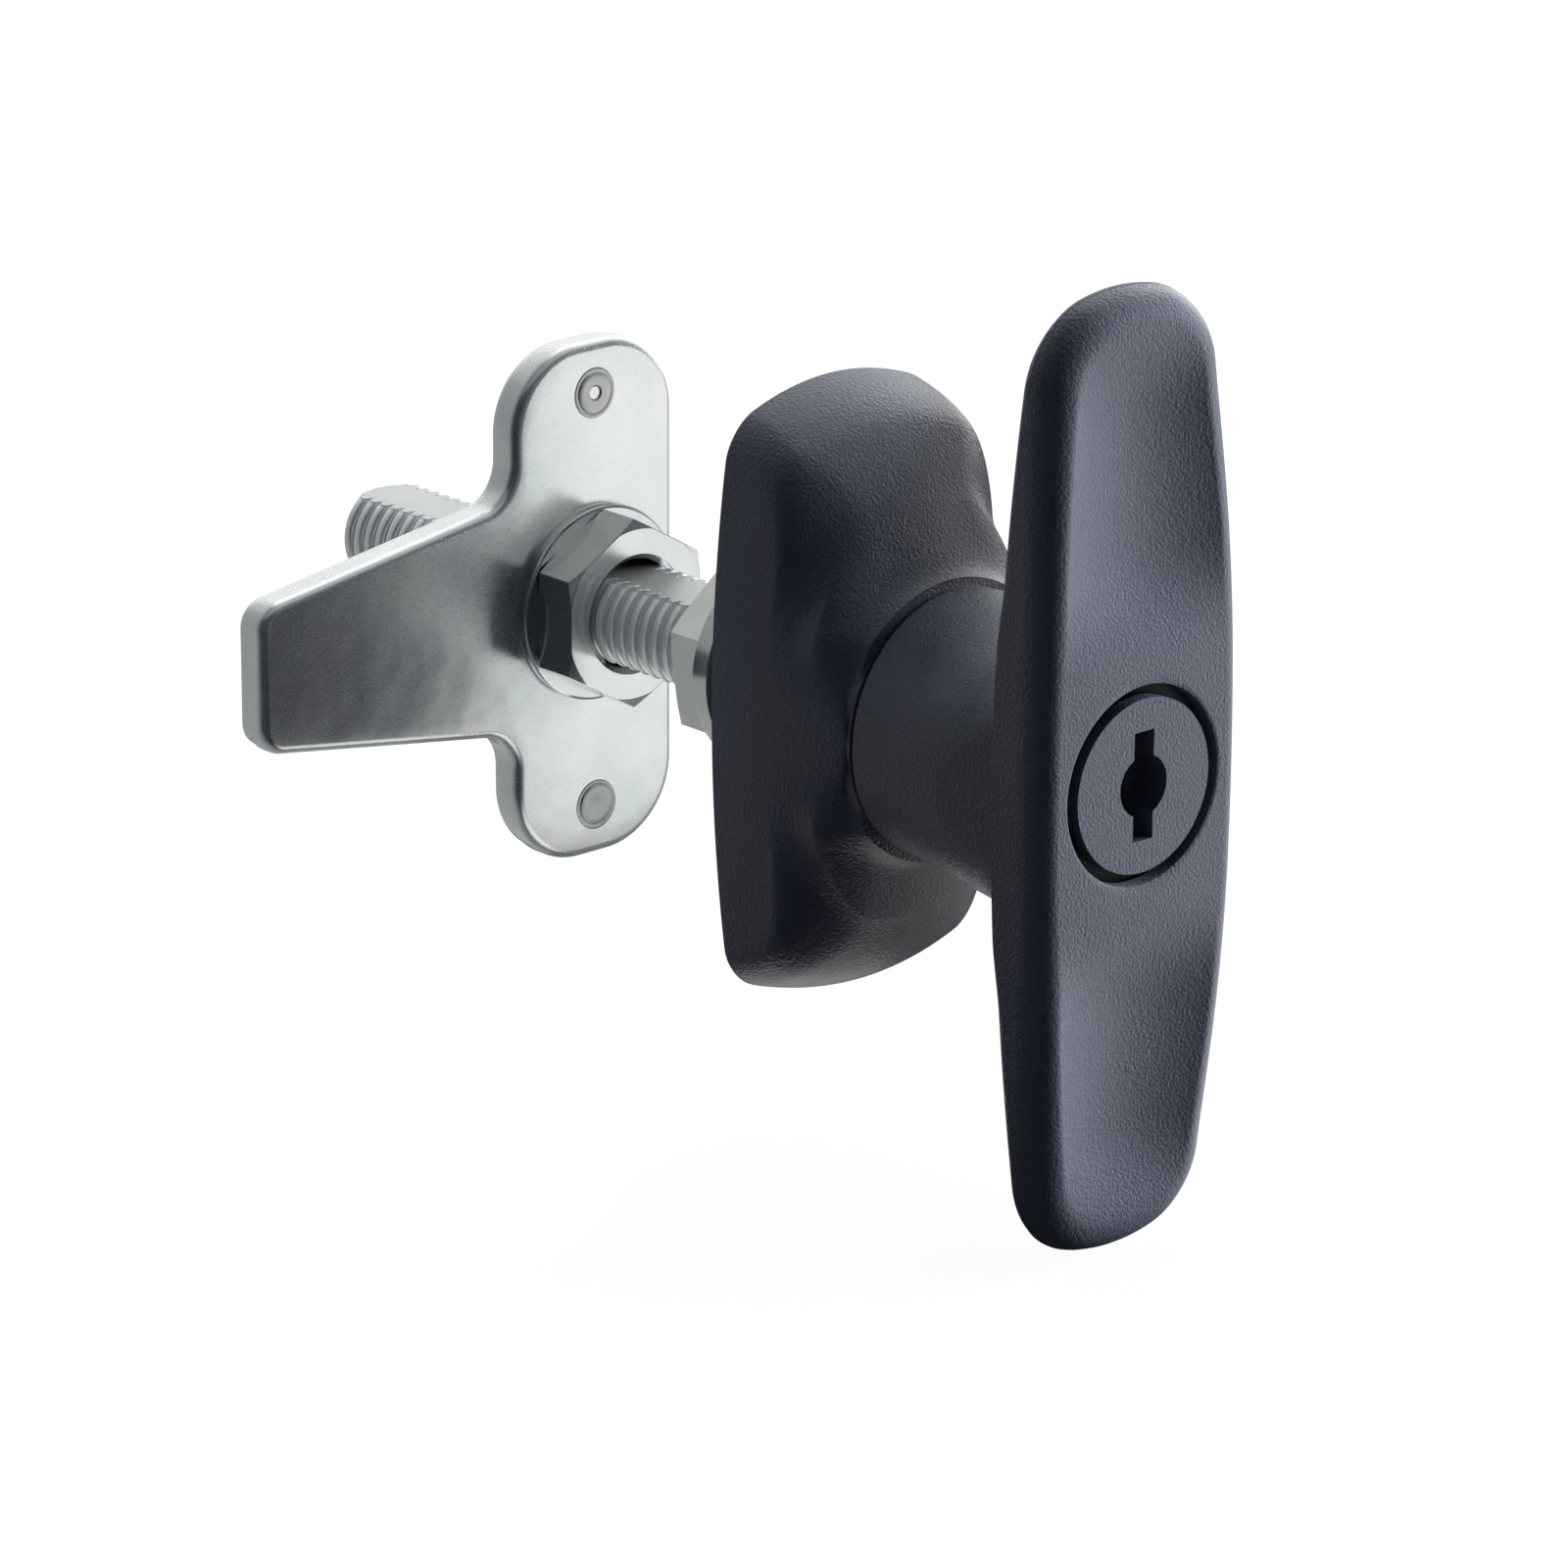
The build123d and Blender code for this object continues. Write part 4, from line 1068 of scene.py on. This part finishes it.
def add_card(name, path, tones, shaded=1.0):
    """Studio card that only reflections see: a path of two points (radius, z) turned about
    a plumb line. Its tone follows the stops round it, dark tones are cool, and close to
    the line it is shaded."""
    strips = 72
    bearing = np.radians(np.linspace(-180, 180, strips + 1))[:, None]
    radius, z = np.array(path).T
    x, y = radius * np.sin(bearing), -radius * np.cos(bearing)
    points = np.stack([x, y, np.broadcast_to(z, x.shape)], -1).reshape(-1, 3)
    card = sheet(name, points, 2)
    hide(card, "camera", "diffuse", "shadow", "transmission")
    material, _, places = new_finish(name)
    tree = material.node_tree
    parts = node(tree, "SeparateXYZ", {0: places}).outputs
    turn = number("ARCTAN2", parts["X"], number("MULTIPLY", parts["Y"], -1))
    ramp = node(tree, "ValToRGB", {"Fac": remap(turn, 0, 1, -math.pi, math.pi)})
    stops = ramp.color_ramp.elements
    while len(stops) < len(tones):
        stops.new(1.0)
    for stop, (at, tone) in zip(stops, tones):
        stop.position = (at + 180) / 360
        cool = max(0.0, 1 - 3 * tone)
        stop.color = (tone, tone * (1.02 + 0.12 * cool), tone * (1.0 + 0.45 * cool), 1)
    across = vector("MULTIPLY", {0: places, 1: (1, 1, 0)})
    away = vector("LENGTH", {0: across}, "Value")
    glow = node(tree, "Emission", {
        "Color": ramp.outputs["Color"], "Strength": remap(away, shaded, 1, 0.012, 0.055)
    })
    feed(tree.nodes["Material Output"], {"Surface": glow.outputs[0]})
    card.data.materials.append(material)


def add_flag(across, along, height):
    """Small upright flag that keeps the key lamp off the rosette and shows nowhere."""
    (x0, x1), (y0, y1), (z0, z1) = across, along, height
    corners = np.array([(x0, y0, z0), (x0, y0, z1), (x1, y1, z0), (x1, y1, z1)])
    flag = sheet("flag", corners, 2)
    hide(flag, "camera", "diffuse", "glossy", "transmission")
    flag.data.materials.append(new_finish("flag")[0])


def add_floor(height):
    """Pale floor: a flat grid that looks white and keeps a soft shadow."""
    span = np.linspace(-3, 3, 9)
    x, y = np.meshgrid(span, span, indexing="ij")
    points = np.stack([x, y, np.full_like(x, height)], -1).reshape(-1, 3)
    floor = sheet("floor", points, len(span))
    material, shader, _ = new_finish("pale_floor")
    tree = material.node_tree
    looked_at = seen(tree)
    feed(shader, {
        "Base Color": blend_colours(looked_at, (0.12, 0.12, 0.13), (0.8, 0.8, 0.8)),
        "Roughness": 0.9,
        "Specular IOR Level": 0.1,
    })
    glow = node(tree, "Emission", {"Color": (1, 1, 1, 1)})
    share = number("MULTIPLY", looked_at, 0.94)
    mix = node(tree, "MixShader", {0: share, 1: shader.outputs["BSDF"], 2: glow.outputs[0]})
    feed(tree.nodes["Material Output"], {"Surface": mix.outputs[0]})
    floor.data.materials.append(material)


def white_world(fill):
    """World that is white to look at and gives a gentle fill as light."""
    world = bpy.data.worlds.new("surroundings")
    world.use_nodes = True
    tree = world.node_tree
    tree.nodes.clear()
    colour = blend_colours(seen(tree), fill, (1, 1, 1))
    sky = node(tree, "Background", {"Color": colour})
    node(tree, "OutputWorld", {"Surface": sky.outputs[0]})
    return world


class LOCK_OT_studio(Operator):
    """Camera, lamps, pale floor and white surroundings"""

    bl_idname = "lock.studio"
    bl_label = "Studio"

    def execute(self, context):
        scene = context.scene
        settings = scene.lock_studio
        scene.camera = add_camera(settings)
        add_lamp("key_lamp", (1.16, -0.52, 0.12), 1.0, settings.key_power)
        add_lamp("top_lamp", (0.1, 0.25, 1.1), 0.9, settings.top_power)
        add_lamp("back_lamp", (0.25, 0.95, 0.6), 0.7, settings.back_power)
        add_lamp("rear_lamp", (-0.75, 0.75, 0.25), 0.6, settings.rear_power)
        add_lamp("spindle_lamp", (-0.15, 0.03, 0.03), 0.03, 0.0022, (0, 0.022, 0.001), 0.3)
        low = settings.floor_height + 0.0004
        wide, high, peak = 1.3, 1.0, 1.15
        add_card("table_card", ((0.02, low), (wide, low)), TABLE_TONES, 0.08)
        add_card("wall_card", ((wide, low), (wide, high)), WALL_TONES)
        add_card("ceiling_card", ((wide, high), (0.0, peak)), CEILING_TONES)
        add_flag((0.0185, 0.0185), (-0.037, 0.0), (-0.046, 0.034))
        add_floor(settings.floor_height)
        scene.world = white_world(settings.fill)
        scene.view_settings.view_transform = "Standard"
        return {"FINISHED"}


class LOCK_PT_panel(Panel):
    """Sizes, colours and pieces of the handle lock"""

    bl_idname = "LOCK_PT_panel"
    bl_label = "Handle Lock"
    bl_space_type = "VIEW_3D"
    bl_region_type = "UI"
    bl_category = "Handle Lock"

    def draw(self, context):
        layout = self.layout
        for operator in OPERATORS:
            layout.operator(operator.bl_idname)
        for attribute in GROUPS:
            group = getattr(context.scene, attribute)
            box = layout.box()
            box.label(text=attribute.replace("lock_", "").capitalize())
            for name in group.__annotations__:
                box.prop(group, name)


GROUPS = {
    "lock_rosette": RosetteSizes,
    "lock_spindle": SpindleSizes,
    "lock_nuts": NutSizes,
    "lock_plate": PlateSizes,
    "lock_handle": HandleSizes,
    "lock_colours": FinishColours,
    "lock_studio": StudioSettings,
}
OPERATORS = [
    LOCK_OT_handle,
    LOCK_OT_rosette,
    LOCK_OT_spindle,
    LOCK_OT_nuts,
    LOCK_OT_plate,
    LOCK_OT_finishes,
    LOCK_OT_studio,
]


def register():
    for attribute, group in GROUPS.items():
        bpy.utils.register_class(group)
        setattr(bpy.types.Scene, attribute, PointerProperty(type=group))
    for operator in OPERATORS:
        bpy.utils.register_class(operator)
    bpy.utils.register_class(LOCK_PT_panel)


def unregister():
    bpy.utils.unregister_class(LOCK_PT_panel)
    for operator in reversed(OPERATORS):
        bpy.utils.unregister_class(operator)
    for attribute, group in reversed(GROUPS.items()):
        delattr(bpy.types.Scene, attribute)
        bpy.utils.unregister_class(group)


def main():
    register()
    bpy.ops.lock.finishes()
    bpy.ops.lock.handle()
    bpy.ops.lock.rosette()
    bpy.ops.lock.spindle()
    bpy.ops.lock.nuts()
    bpy.ops.lock.plate()
    bpy.ops.lock.studio()


if __name__ == "__main__":
    main()
